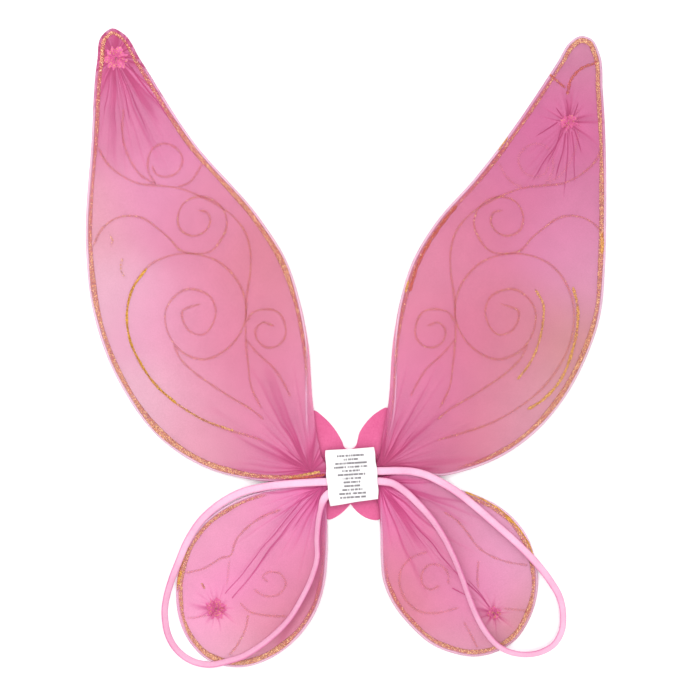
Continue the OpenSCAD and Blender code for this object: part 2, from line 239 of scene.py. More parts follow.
@dataclass
class Shape:
    """Points and faces of a closed surface, with values held at its points."""

    points: Array
    quads: Array
    tris: Array
    marks: dict[str, Array] = field(default_factory=dict)

    @staticmethod
    def tube(rings: Array, **marks: Array) -> "Shape":
        """A closed tube through rings, with each end drawn in to the middle of its ring.

        Args:
            rings: Ring, place on the ring, and xyz.
            marks: Values for each place of each ring, by name.

        Returns:
            The tube.
        """
        count, sides = rings.shape[:2]
        index = np.arange(count * sides).reshape(count, sides)
        ahead = np.roll(index, -1, axis=1)
        quads = np.stack([index[:-1], index[1:], ahead[1:], ahead[:-1]], axis=-1).reshape(-1, 4)
        first = np.full(sides, count * sides)
        tris = np.vstack([np.column_stack([first, index[0], ahead[0]]),
                          np.column_stack([first + 1, ahead[-1], index[-1]])])
        points = np.vstack([rings.reshape(-1, 3), rings[[0, -1]].mean(axis=1)])
        held = {}
        for name, value in marks.items():
            ends = value[[0, -1]].reshape(2, sides, -1).mean(1)
            held[name] = np.concatenate([value.reshape(count * sides, -1), ends])
        return Shape(points, quads, tris, held)

    @staticmethod
    def joined(shapes: list["Shape"]) -> "Shape":
        """Several closed shapes as one.

        Args:
            shapes: Shapes with the same marks.

        Returns:
            One shape.
        """
        offsets = np.cumsum([0] + [len(shape.points) for shape in shapes[:-1]])
        return Shape(
            np.vstack([shape.points for shape in shapes]),
            np.vstack([shape.quads + offset for shape, offset in zip(shapes, offsets)]),
            np.vstack([shape.tris + offset for shape, offset in zip(shapes, offsets)]),
            {name: np.concatenate([shape.marks[name] for shape in shapes]) for name in shapes[0].marks})

    def volume(self) -> float:
        """The space inside.

        Returns:
            Cubic metres, which are more than 0 when the faces point outwards.
        """
        tris = np.vstack([self.tris, self.quads[:, [0, 1, 2]], self.quads[:, [0, 2, 3]]])
        a, b, c = (self.points[tris[:, corner]] for corner in range(3))
        return float((a * np.cross(b, c)).sum() / 6)

    def to_object(self, name: str, weld: bool = False) -> Piece:
        """Makes the mesh object, with its faces outwards.

        Args:
            name: The piece's name.
            weld: Whether points in the same place become one.

        Returns:
            The new object, at the origin.
        """
        turn = 1 if self.volume() > 0 else -1
        quads, tris = self.quads[:, ::turn], self.tris[:, ::turn]
        mesh = bpy.data.meshes.new(name)
        mesh.vertices.add(len(self.points))
        mesh.vertices.foreach_set("co", self.points.astype(np.float32).ravel())
        loops = np.concatenate([quads.ravel(), tris.ravel()]).astype(np.int32)
        mesh.loops.add(len(loops))
        mesh.loops.foreach_set("vertex_index", loops)
        starts = np.concatenate([np.arange(len(quads)) * 4, len(quads) * 4 + np.arange(len(tris)) * 3])
        mesh.polygons.add(len(starts))
        mesh.polygons.foreach_set("loop_start", starts.astype(np.int32))
        mesh.polygons.foreach_set("use_smooth", np.ones(len(starts), bool))
        mesh.update(calc_edges=True)
        for mark, value in self.marks.items():
            kind, part = ("FLOAT", "value") if value.shape[1] == 1 else ("FLOAT_COLOR", "color")
            if part == "color":
                value = np.column_stack([value, np.ones(len(value))])
            mesh.attributes.new(mark, kind, "POINT").data.foreach_set(part, value.astype(np.float32).ravel())
        if weld:
            work = bmesh.new()
            work.from_mesh(mesh)
            bmesh.ops.remove_doubles(work, verts=work.verts, dist=WELD)
            work.to_mesh(mesh)
            work.free()
        mesh.validate()
        piece = bpy.data.objects.new(name, mesh)
        bpy.context.scene.collection.objects.link(piece)
        return piece


def sweep(path: Array, section: Array, turn: Array | None = None) -> Array:
    """Rings of a section carried along a path.

    Formula: at each point the section's first axis lies level and square to the path, and its
    second axis is square to both; the section is then turned about the path.

    Args:
        path: Points of the middle line.
        section: Across and up of each corner, for one ring or for every ring.
        turn: Angle about the path at each point, in radians.

    Returns:
        Rings by corners by xyz.
    """
    along = np.gradient(path, axis=0)
    along /= np.linalg.norm(along, axis=1, keepdims=True)
    across = np.cross(along, [0.0, 0.0, 1.0])
    across /= np.linalg.norm(across, axis=1, keepdims=True)
    up = np.cross(across, along)
    if turn is not None:
        cos, sin = np.cos(turn)[:, None], np.sin(turn)[:, None]
        across, up = across * cos + up * sin, up * cos - across * sin
    section = np.broadcast_to(section, (len(path),) + section.shape[-2:])
    return path[:, None] + section[..., :1] * across[:, None] + section[..., 1:] * up[:, None]


def oval(width: float, height: float, sides: int) -> Array:
    """Corners of an oval, of which the first axis is its width."""
    angle = np.arange(sides) / sides * math.tau
    return np.column_stack([np.cos(angle) * width / 2, np.sin(angle) * height / 2])


def linear(red: float, green: float, blue: float) -> tuple[float, float, float]:
    """A display colour as linear light.

    Args:
        red: From 0 to 255.
        green: From 0 to 255.
        blue: From 0 to 255.

    Returns:
        The three parts of light, from 0 to 1.
    """
    share = np.array([red, green, blue]) / 255
    light = np.where(share <= 0.04045, share / 12.92, ((share + 0.055) / 1.055) ** 2.4)
    return tuple(float(part) for part in light)


def shade(red: float, green: float, blue: float) -> tuple[float, float, float, float]:
    """A display colour of 0 to 255 as a shader's colour."""
    return (*linear(red, green, blue), 1.0)


# ---------------------------------------------------------------- finishes


class Nodes:
    """Adds nodes to one shader tree and joins them."""

    def __init__(self, tree: Tree) -> None:
        """Takes the tree that the nodes go in."""
        self.tree = tree

    def put(self, socket: Socket, value: object) -> None:
        """Joins a socket to value, or sets it to value.

        Args:
            socket: An input socket.
            value: Another node's output socket, or a plain value.
        """
        if isinstance(value, Socket):
            self.tree.links.new(value, socket)
        else:
            socket.default_value = value

    def add(self, kind: str, values: dict | None = None, **settings: object) -> Node:
        """A new node, with its settings and with values put on its sockets.

        Args:
            kind: The node's type, without its first words.
            values: What each input gets, by name or number.
            settings: The node's own properties, by name.

        Returns:
            The node.
        """
        node = self.tree.nodes.new("ShaderNode" + kind)
        for name, setting in settings.items():
            setattr(node, name, setting)
        for place, value in (values or {}).items():
            self.put(node.inputs[place], value)
        return node

    def math(self, operation: str, *values: object, clamp: bool = False) -> Socket:
        """The result of one sum."""
        return self.add("Math", dict(enumerate(values)), operation=operation, use_clamp=clamp).outputs[0]

    def times(self, *values: object, clamp: bool = False) -> Socket:
        """One value times another."""
        return self.math("MULTIPLY", *values, clamp=clamp)

    def plus(self, *values: object, clamp: bool = False) -> Socket:
        """One value and another."""
        return self.math("ADD", *values, clamp=clamp)

    def less(self, *values: object, clamp: bool = False) -> Socket:
        """One value less another."""
        return self.math("SUBTRACT", *values, clamp=clamp)

    def over(self, *values: object, clamp: bool = False) -> Socket:
        """One value divided by another."""
        return self.math("DIVIDE", *values, clamp=clamp)

    def most(self, *values: object) -> Socket:
        """The greater of two values."""
        return self.math("MAXIMUM", *values)

    def span(self, value: object, low: object, high: object, to_low: float = 0.0,
             to_high: float = 1.0) -> Socket:
        """value carried from low and high to to_low and to_high, and held between them."""
        return self.add("MapRange", dict(enumerate([value, low, high, to_low, to_high]))).outputs[0]

    def mix(self, share: object, first: object, second: object, blend: str = "MIX") -> Socket:
        """Two colours mixed."""
        return self.add("Mix", {0: share, 6: first, 7: second}, data_type="RGBA", blend_type=blend).outputs[2]

    def noise(self, vector: object, scale: object, detail: float = 2.0) -> Socket:
        """Smooth noise about 0.5."""
        return self.add("TexNoise", {"Vector": vector, "Scale": scale, "Detail": detail}).outputs[0]

    def mark(self, name: str, colour: bool = False) -> Socket:
        """A value that the mesh holds at its points."""
        return self.add("Attribute", attribute_name=name).outputs[0 if colour else 2]

    def place(self) -> Socket:
        """The place on the object, in metres."""
        return self.add("TexCoord").outputs["Object"]

    def group(self, tree: Tree, values: dict) -> Node:
        """A shared group in this tree.

        Args:
            tree: The group's own tree.
            values: What each of its inputs gets, by name.

        Returns:
            The group's node.
        """
        node = self.add("Group", node_tree=tree)
        for place, value in values.items():
            self.put(node.inputs[place], value)
        return node

    def mottled(self, where: object, size: object) -> Socket:
        """Soft uneven patches of one size."""
        return self.group(mottle(), {"Vector": where, "Size": size}).outputs[0]

    def knitted(self, where: object, pitch: float) -> Socket:
        """The height of knitted stitches of one pitch."""
        return self.group(knit(), {"Vector": where, "Pitch": pitch}).outputs[0]

    def relief(self, shader: Node, height: object, strength: float, depth: float) -> None:
        """Raises a shader's surface by a height.

        Args:
            shader: The material's shader.
            height: What the surface rises by, as a share of depth.
            strength: How much of it shows.
            depth: The full height, in metres.
        """
        values = {"Strength": strength, "Distance": depth, "Height": height}
        self.put(shader.inputs["Normal"], self.add("Bump", values).outputs[0])


Fill = Callable[[Nodes, dict], dict]


def shared_group(name: str, inputs: dict[str, str], outputs: list[str], fill: Fill) -> Tree:
    """A shader group that several materials use, built the first time it is asked for.

    Args:
        name: The group's name.
        inputs: Kind of each input socket, by name.
        outputs: Names of the outputs, which are all plain values.
        fill: Adds the nodes and returns the socket of each output.

    Returns:
        The group's tree.
    """
    tree = bpy.data.node_groups.get(name)
    if tree is not None:
        return tree
    tree = bpy.data.node_groups.new(name, "ShaderNodeTree")
    for label, kind in inputs.items():
        tree.interface.new_socket(label, in_out="INPUT", socket_type="NodeSocket" + kind)
    for label in outputs:
        tree.interface.new_socket(label, in_out="OUTPUT", socket_type="NodeSocketFloat")
    entry, leave = tree.nodes.new("NodeGroupInput"), tree.nodes.new("NodeGroupOutput")
    results = fill(Nodes(tree), {socket.name: socket for socket in entry.outputs})
    for label, socket in results.items():
        tree.links.new(socket, leave.inputs[label])
    return tree


def mottle() -> Tree:
    """Soft uneven patches of a given size.

    Returns:
        The group, with one output, Mask.
    """
    def fill(nodes: Nodes, given: dict) -> dict:
        """Noise, with its middle values spread out.

        Args:
            nodes: The group's nodes.
            given: Its inputs, by name.

        Returns:
            Its outputs, by name.
        """
        scale = nodes.over(1.0, given["Size"])
        return {"Mask": nodes.span(nodes.noise(given["Vector"], scale, 3.0), 0.3, 0.7)}
    return shared_group("Mottle", {"Vector": "Vector", "Size": "Float"}, ["Mask"], fill)


def knit() -> Tree:
    """Fine stitches in rows.

    Formula: a wave along each row, shifted by a wave across it.

    Returns:
        The group, with one output, Height.
    """
    def fill(nodes: Nodes, given: dict) -> dict:
        """The two waves multiplied.

        Args:
            nodes: The group's nodes.
            given: Its inputs, by name.

        Returns:
            Its outputs, by name.
        """
        turns = nodes.over(math.tau, given["Pitch"])
        parts = nodes.add("SeparateXYZ", {0: given["Vector"]}).outputs
        across = nodes.math("SINE", nodes.times(parts[0], turns))
        rows = nodes.times(nodes.plus(parts[1], nodes.times(parts[0], 0.4)), turns)
        wave = nodes.math("SINE", nodes.plus(rows, nodes.times(across, 0.9)))
        return {"Height": nodes.span(nodes.times(wave, across), -1.0, 1.0)}
    return shared_group("Knit", {"Vector": "Vector", "Pitch": "Float"}, ["Height"], fill)


def gather() -> Tree:
    """Pleats that run out from one gathered point: a thin crease in each, and soft bands between them.

    Formula: noise is read at the direction from the point, times a count. A crease runs where the
    noise is one half, and is equally wide all along; each ends at its own distance.

    Returns:
        The group, with outputs Crease and Pleat.
    """
    def fill(nodes: Nodes, given: dict) -> dict:
        """The noise by direction, and what fades out at each pleat's reach.

        Args:
            nodes: The group's nodes.
            given: Its inputs, by name.

        Returns:
            Its outputs, by name.
        """
        parts = nodes.add("SeparateXYZ", {0: given["Vector"]}).outputs
        x = nodes.less(parts[0], given["Centre X"])
        y = nodes.less(parts[1], given["Centre Y"])
        far = nodes.math("SQRT", nodes.plus(nodes.times(x, x), nodes.times(y, y)))
        far = nodes.most(far, 0.0002)
        share = nodes.over(given["Count"], far)
        turned = (nodes.times(x, share), nodes.times(y, share), nodes.times(far, 5.0))
        turn = nodes.add("CombineXYZ", dict(enumerate(turned))).outputs[0]
        wave = nodes.noise(turn, 1.0, 0.0)
        width = nodes.times(share, 0.0008)
        crease = nodes.span(nodes.math("ABSOLUTE", nodes.less(wave, 0.5)), width, nodes.times(width, 0.2))
        reach = nodes.times(given["Reach"], nodes.span(nodes.noise(turn, 0.6, 0.0), 0.35, 0.65, 0.35, 1.15))
        fade = nodes.span(far, reach, nodes.times(reach, 0.25))
        return {"Crease": nodes.times(crease, fade),
                "Pleat": nodes.times(nodes.span(wave, 0.4, 0.6, -1.0, 1.0), fade)}
    inputs = {"Vector": "Vector", "Centre X": "Float", "Centre Y": "Float", "Reach": "Float",
              "Count": "Float"}
    return shared_group("Gather", inputs, ["Crease", "Pleat"], fill)


def crease_and_shadow_line() -> Tree:
    """One dark line between two points, which thins out towards its second end; it draws crease lines and
    painted shadows beside the elastics.

    Returns:
        The group, with one output, Mask.
    """
    def fill(nodes: Nodes, given: dict) -> dict:
        """The distance to the line between the points, against its width there.

        Args:
            nodes: The group's nodes.
            given: Its inputs, by name.

        Returns:
            Its outputs, by name.
        """
        def of(operation: str, *vectors: object, result: int = 0) -> Socket:
            """The result of one vector sum."""
            return nodes.add("VectorMath", dict(enumerate(vectors)), operation=operation).outputs[result]
        rel, way = of("SUBTRACT", given["Vector"], given["From"]), of("SUBTRACT", given["To"], given["From"])
        share = nodes.over(of("DOT_PRODUCT", rel, way, result=1), of("DOT_PRODUCT", way, way, result=1),
                           clamp=True)
        foot = nodes.add("VectorMath", {0: way, 3: share}, operation="SCALE").outputs[0]
        away = of("LENGTH", of("SUBTRACT", rel, foot), result=1)
        width = nodes.times(given["Width"], nodes.span(share, 0.0, 1.0, 1.0, 0.5))
        line = nodes.span(away, width, nodes.times(width, 0.25))
        line = nodes.times(line, given["Strength"])
        return {"Mask": nodes.times(line, nodes.span(share, 1.0, 0.75))}
    inputs = {"Vector": "Vector", "From": "Vector", "To": "Vector", "Width": "Float", "Strength": "Float"}
    return shared_group("Crease and shadow line", inputs, ["Mask"], fill)


def new_material(name: str) -> tuple[Material, Nodes, Node]:
    """An empty material with a Principled shader.

    Args:
        name: The material's name.

    Returns:
        The material, its nodes, and its shader.
    """
    material = bpy.data.materials.new(name)
    material.use_nodes = True
    material.node_tree.nodes.clear()
    nodes = Nodes(material.node_tree)
    shader = nodes.add("BsdfPrincipled")
    nodes.add("OutputMaterial", {"Surface": shader.outputs[0]})
    return material, nodes, shader


@dataclass(frozen=True)
class NylonFinish:
    """Sheer stretched nylon: tinted through, denser in its folds, with painted shade in each crease, painted
    shadow beside the elastics and a painted highlight on fold ridges.
    """

    name: str
    toe: tuple[float, float]
    root: tuple[float, float]
    crease_and_shadow_lines: tuple
    toe_reach: float
    toe_count: float
    root_reach: float = 0.10
    root_count: float = 5.0
    # What a crease line darkens to: partly denser doubled nylon, partly painted shade; the wide lines beside
    # the elastics use it as painted shadow.
    crease_density_and_shade: tuple = (0.55, 0.10, 0.34, 1.0)
    gathered_tint: tuple = (0.92, 0.66, 0.84, 1.0)
    wobble_scale: float = 40.0
    wobble_size: float = 0.004
    cloud: float = 0.02
    grain: float = 0.0011
    pitch: float = 0.0009
    wearer_cover: float = 0.58
    outer_cover: float = 0.70
    rim_clear: float = 0.40

    def lines(self, nodes: Nodes, where: Socket) -> tuple[Socket, Socket]:
        """All crease lines and painted shadow lines together, and all soft pleats together.

        Args:
            nodes: The material's nodes.
            where: The place on the object.

        Returns:
            How much crease line and shadow line there is, and how far into a pleat.
        """
        noise = {"Vector": where, "Scale": self.wobble_scale, "Detail": 0.0}
        wobble = nodes.add("TexNoise", noise).outputs[1]
        wobble = nodes.add("VectorMath", {0: wobble, 1: (0.5, 0.5, 0.5)}, operation="SUBTRACT").outputs[0]
        shift = {0: wobble, 1: (self.wobble_size, self.wobble_size, 0.0), 2: where}
        bent = nodes.add("VectorMath", shift, operation="MULTIPLY_ADD").outputs[0]
        level = nodes.add("VectorMath", {0: bent, 1: (1.0, 1.0, 0.0)}, operation="MULTIPLY").outputs[0]
        ends = ((*self.toe, self.toe_reach, self.toe_count), (*self.root, self.root_reach, self.root_count))
        names = ("Centre X", "Centre Y", "Reach", "Count")
        fans = [nodes.group(gather(), {"Vector": level} | dict(zip(names, end))).outputs for end in ends]
        crease = nodes.most(fans[0]["Crease"], fans[1]["Crease"])
        crease = nodes.times(crease, 0.95)
        # Given lines: the thin ones are crease lines, the wide ones along the elastics are painted shadow.
        for start, end, width, strength in self.crease_and_shadow_lines:
            places = {"From": (start[0] * MM, start[1] * MM, 0.0), "To": (end[0] * MM, end[1] * MM, 0.0)}
            values = {"Vector": level, "Width": width * MM, "Strength": strength} | places
            crease = nodes.most(crease, nodes.group(crease_and_shadow_line(), values).outputs[0])
        return crease, nodes.plus(fans[0]["Pleat"], fans[1]["Pleat"])

    def build(self) -> Material:
        """Makes the material.

        Returns:
            The material, which reads the sleeve's tint, ridge, crease, near, rim and outer marks.
        """
        material, nodes, shader = new_material(self.name)
        where = nodes.place()
        tint = nodes.mark("tint", colour=True)
        ridge, crease, near = nodes.mark("ridge"), nodes.mark("crease"), nodes.mark("near")
        rim, outer = nodes.mark("rim"), nodes.mark("outer")
        drawn, pleat = self.lines(nodes, where)
        line = nodes.most(nodes.times(crease, 0.7), drawn)
        cloud = nodes.mottled(where, self.cloud)
        grain = nodes.mottled(where, self.grain)
        stitches = nodes.knitted(where, self.pitch)
        bright = nodes.plus(nodes.span(cloud, 0.0, 1.0, 0.97, 1.03), nodes.span(grain, 0.0, 1.0, -0.05, 0.05))
        # Painted highlight along fold ridges.
        bright = nodes.plus(bright, nodes.times(ridge, 0.02))
        # Painted light and shade across the soft pleats: alternate bands lighter and darker.
        bright = nodes.plus(bright, nodes.times(pleat, 0.07))
        dense = nodes.mix(1.0, tint, self.gathered_tint, "MULTIPLY")
        colour = nodes.mix(nodes.times(near, 0.6), tint, dense)
        # Each crease line darkens, partly as denser doubled nylon and partly as painted shade; the wide lines
        # beside the elastics are painted shadow.
        dense_and_shaded = nodes.mix(1.0, colour, self.crease_density_and_shade, "MULTIPLY")
        colour = nodes.mix(nodes.times(line, 0.95), colour, dense_and_shaded)
        grey = nodes.add("CombineXYZ", {0: bright, 1: bright, 2: bright}).outputs[0]
        nodes.put(shader.inputs["Base Color"], nodes.mix(1.0, colour, grey, "MULTIPLY"))
        cover = nodes.plus(nodes.span(outer, 0.0, 1.0, self.wearer_cover, self.outer_cover),
                           nodes.span(stitches, 0.0, 1.0, -0.04, 0.04))
        more = nodes.plus(nodes.times(line, 0.35), nodes.times(near, 0.30))
        more = nodes.plus(more, nodes.times(ridge, 0.04))
        bare = nodes.less(nodes.times(rim, self.rim_clear), nodes.times(near, 0.25), clamp=True)
        nodes.put(shader.inputs["Alpha"], nodes.less(nodes.plus(cover, more), bare, clamp=True))
        height = nodes.less(nodes.times(stitches, 0.25), drawn)
        height = nodes.plus(height, nodes.times(pleat, 0.5))
        nodes.relief(shader, height, 0.6, 0.0006)
        shader.inputs["Roughness"].default_value = 0.55
        shader.inputs["Sheen Weight"].default_value = 0.1
        shader.inputs["Sheen Roughness"].default_value = 0.4
        return material


@dataclass(frozen=True)
class GlitterFinish:
    """Gold flakes printed on nylon, over the stain that the print leaves where it soaks through."""

    name: str = "glitter_gold"
    flake: float = 0.0006
    muted: tuple = ((158, 98, 76), (236, 196, 150), (202, 140, 106))
    clear: tuple = ((150, 92, 18), (226, 176, 70))
    stained: tuple = (190, 82, 62)

    @staticmethod
    def ramp(nodes: Nodes, chance: object, dark: tuple, light: tuple) -> Socket:
        """A colour between two by chance.

        Args:
            nodes: The material's nodes.
            chance: A value from 0 to 1.
            dark: The colour at 0, of 0 to 255.
            light: The colour at 1, of 0 to 255.

        Returns:
            The colour's socket.
        """
        colour = nodes.add("ValToRGB", {0: chance}).outputs[0]
        for stop, ends in zip(colour.node.color_ramp.elements, (dark, light)):
            stop.color = shade(*ends)
        return colour

    def build(self) -> Material:
        """Makes the material.

        Returns:
            The material, which reads the print's strength, across, bright and stain marks.
        """
        material, nodes, shader = new_material(self.name)
        where = nodes.place()
        strength, across = nodes.mark("strength"), nodes.mark("across")
        bright, stain = nodes.mark("bright"), nodes.mark("stain")
        cells = nodes.add("TexVoronoi", {"Vector": where, "Scale": 1 / self.flake}).outputs[1]
        chance = nodes.add("SeparateColor", {0: cells}).outputs
        dull = self.ramp(nodes, chance[1], *self.muted[:2])
        dull.node.color_ramp.elements.new(0.55).color = shade(*self.muted[2])
        gold = self.ramp(nodes, chance[1], *self.clear)
        ragged = nodes.times(nodes.math("ABSOLUTE", across), 0.8)
        ragged = nodes.math("POWER", ragged, 4.0)
        wanted = nodes.less(strength, ragged)
        flakes = nodes.span(nodes.less(wanted, chance[0]), 0.0, 0.08)
        soaked = nodes.times(stain, nodes.span(ragged, 0.5, 0.0))
        soaked = nodes.times(soaked, nodes.span(chance[2], 0.0, 1.0, 0.35, 1.5))
        flake = nodes.mix(bright, dull, gold)
        nodes.put(shader.inputs["Base Color"], nodes.mix(flakes, shade(*self.stained), flake))
        nodes.put(shader.inputs["Alpha"], nodes.most(flakes, soaked))
        nodes.put(shader.inputs["Roughness"], nodes.span(chance[2], 0.0, 1.0, 0.28, 0.6))
        metal = nodes.times(flakes, nodes.span(chance[2], 0.0, 1.0, 0.75, 0.35))
        nodes.put(shader.inputs["Metallic"], metal)
        nodes.relief(shader, chance[1], 0.8, 0.0003)
        return material


@dataclass(frozen=True)
class KnotFinish:
    """Nylon bunched in a tied toe, darker along the crease of each pleat as denser nylon and painted shade,
    with a few gold flakes on it.
    """

    name: str
    centre: tuple[float, float]
    colour: tuple = (208, 100, 152)
    # What the pleat crease lines darken to, as painted shade and denser nylon, and the mottle's darker tone.
    dark: tuple = (182, 58, 112)
    gold: tuple = (206, 146, 84)
    flakes: float = 1500.0

    def build(self) -> Material:
        """Makes the material from the shared pleats and mottle.

        Returns:
            The material.
        """
        material, nodes, shader = new_material(self.name)
        where = nodes.place()
        middle = {"Centre X": self.centre[0], "Centre Y": self.centre[1]}
        pleats = nodes.group(gather(), {"Vector": where, "Reach": 0.04, "Count": 3.2} | middle).outputs
        grain = nodes.mottled(where, 0.0012)
        # Crease lines: partly bunched denser nylon, partly painted shade; the grain is the nylon's own uneven
        # tone.
        share = nodes.plus(nodes.times(pleats["Crease"], 0.5), nodes.times(grain, 0.3), clamp=True)
        colour = nodes.mix(share, shade(*self.colour), shade(*self.dark))
        chance = nodes.add("TexVoronoi", {"Vector": where, "Scale": self.flakes}).outputs[1]
        flake = nodes.span(nodes.add("SeparateColor", {0: chance}).outputs[0], 0.90, 0.93)
        nodes.put(shader.inputs["Base Color"], nodes.mix(flake, colour, shade(*self.gold)))
        height = nodes.less(nodes.times(pleats["Pleat"], 0.6), pleats["Crease"])
        nodes.relief(shader, height, 0.7, 0.0006)
        nodes.put(shader.inputs["Roughness"], nodes.span(grain, 0.0, 1.0, 0.45, 0.65))
        shader.inputs["Sheen Weight"].default_value = 0.1
        return material


@dataclass(frozen=True)
class FabricFinish:
    """Cloth, thread, tape or foam: one colour with its own weave, unevenness and sheen."""

    name: str
    colour: tuple[float, float, float]
    dark: tuple[float, float, float]
    pitch: float = 0.0008
    cloud: float = 0.01
    relief: float = 0.00015
    roughness: float = 0.7
    sheen: float = 0.1

    def build(self) -> Material:
        """Makes the material from the shared weave and mottle.

        Returns:
            The material.
        """
        material, nodes, shader = new_material(self.name)
        where = nodes.place()
        stitches = nodes.knitted(where, self.pitch)
        cloud = nodes.mottled(where, self.cloud)
        grain = nodes.mottled(where, self.pitch * 1.5)
        share = nodes.plus(nodes.times(cloud, 0.45), nodes.times(grain, 0.35))
        colour = nodes.mix(share, shade(*self.colour), shade(*self.dark))
        nodes.put(shader.inputs["Base Color"], colour)
        nodes.put(shader.inputs["Roughness"],
                  nodes.span(grain, 0.0, 1.0, self.roughness - 0.08, self.roughness + 0.08))
        height = nodes.plus(nodes.times(stitches, 0.6), nodes.times(grain, 0.6))
        nodes.relief(shader, height, 0.6, self.relief)
        shader.inputs["Sheen Weight"].default_value = self.sheen
        return material


@dataclass(frozen=True)
class ElasticFinish:
    """Flat braided elastic: fine ribs along the band, painted shade on its edges and where it is turned on
    edge, and a soft sheen.
    """

    name: str = "elastic_pink"
    colour: tuple = (228, 184, 206)
    # Colour of the painted shade on the edges and turned stretches, and of the darker mottle.
    dark: tuple = (194, 98, 144)
    ribs: float = 22.0
    picks: float = 7000.0

    def build(self) -> Material:
        """Makes the material.

        Returns:
            The material, which reads the band's along, across and turned marks.
        """
        material, nodes, shader = new_material(self.name)
        where = nodes.place()
        along, across = nodes.mark("along"), nodes.mark("across")
        ribs = nodes.math("SINE", nodes.times(across, self.ribs))
        picks = nodes.plus(nodes.times(along, self.picks), nodes.times(ribs, 1.5))
        picks = nodes.math("SINE", picks)
        # Painted shade on the band's rounded edges.
        edge = nodes.span(nodes.math("ABSOLUTE", across), 0.55, 1.0)
        cloud = nodes.mottled(where, 0.03)
        grain = nodes.mottled(where, 0.0016)
        share = nodes.plus(nodes.times(edge, 0.5), nodes.times(cloud, 0.3))
        share = nodes.plus(share, nodes.times(grain, 0.12))
        # Painted shade where the band is turned on edge.
        share = nodes.plus(share, nodes.times(nodes.mark("turned"), 0.35), clamp=True)
        colour = nodes.mix(share, shade(*self.colour), shade(*self.dark))
        nodes.put(shader.inputs["Base Color"], colour)
        height = nodes.plus(nodes.times(ribs, 0.5), nodes.times(picks, 0.35))
        nodes.relief(shader, height, 0.35, 0.0002)
        nodes.put(shader.inputs["Roughness"], nodes.span(grain, 0.0, 1.0, 0.42, 0.6))
        shader.inputs["Sheen Weight"].default_value = 0.2
        return material


@dataclass(frozen=True)
class LabelFinish:
    """White satin tape with rows of plain grey dashes where the care text would be."""

    name: str = "label_satin"
    tilt: float = -0.06
    pitch: float = 0.0034
    shortest: float = 0.007
    longest: float = 0.0165
    block: float = 0.0205
    satin: tuple = ((0.74, 0.73, 0.73, 1.0), (0.66, 0.65, 0.65, 1.0))
    ink: tuple = (0.17, 0.16, 0.17, 1.0)

    def build(self) -> Material:
        """Makes the material. Rows have uneven lengths and are broken into dashes.

        Returns:
            The material.
        """
        material, nodes, shader = new_material(self.name)
        where = nodes.place()
        turned = nodes.add("Mapping", {0: where, 2: (0.0, 0.0, self.tilt)}).outputs[0]
        parts = nodes.add("SeparateXYZ", {0: turned}).outputs
        rows = nodes.over(parts[1], self.pitch)
        row = nodes.math("FLOOR", rows)
        inside = nodes.math("ABSOLUTE", nodes.less(nodes.math("FRACT", rows), 0.5))
        line = nodes.span(inside, 0.30, 0.24)
        chance = nodes.add("TexWhiteNoise", {"W": row}, noise_dimensions="1D").outputs[0]
        half = nodes.span(chance, 0.0, 1.0, self.shortest, self.longest)
        aside = nodes.math("ABSOLUTE", nodes.less(parts[0], 0.001))
        width = nodes.span(nodes.less(half, aside), 0.0, 0.0003)
        places = {0: nodes.times(parts[0], 900.0), 1: nodes.times(row, 7.3)}
        spread = nodes.add("CombineXYZ", places).outputs[0]
        dashes = nodes.span(nodes.noise(spread, 1.0, 2.0), 0.38, 0.46)
        high = nodes.span(parts[1], self.block, self.block - 0.0005)
        low = nodes.span(parts[1], -self.block, 0.0005 - self.block)
        ink = nodes.times(nodes.times(line, width), nodes.times(dashes, nodes.times(high, low)))
        facing = nodes.add("SeparateXYZ", {0: nodes.add("TexCoord").outputs["Normal"]}).outputs
        up = nodes.span(facing[2], 0.4, 0.6)
        ink = nodes.times(ink, up)
        grain = nodes.mottled(where, 0.002)
        stitches = nodes.knitted(where, 0.0005)
        satin = nodes.mix(nodes.times(grain, 0.3), *self.satin)
        nodes.put(shader.inputs["Base Color"], nodes.mix(ink, satin, self.ink))
        nodes.relief(shader, stitches, 0.25, 0.0001)
        nodes.put(shader.inputs["Roughness"], nodes.span(stitches, 0.0, 1.0, 0.35, 0.5))
        return material


@dataclass(frozen=True)
class WireFinish:
    """Steel wire in a smooth white coating, a little yellowed and scuffed."""

    name: str = "wire_coating"
    colour: tuple = (222, 198, 216)
    dark: tuple = (200, 170, 198)

    def build(self) -> Material:
        """Makes the material.

        Returns:
            The material.
        """
        material, nodes, shader = new_material(self.name)
        where = nodes.place()
        cloud = nodes.mottled(where, 0.015)
        scuff = nodes.mottled(where, 0.0015)
        colour = nodes.mix(nodes.times(cloud, 0.5), shade(*self.colour), shade(*self.dark))
        nodes.put(shader.inputs["Base Color"], colour)
        nodes.put(shader.inputs["Roughness"], nodes.span(scuff, 0.0, 1.0, 0.18, 0.42))
        nodes.relief(shader, scuff, 0.15, 0.0001)
        shader.inputs["Coat Weight"].default_value = 0.4
        return material


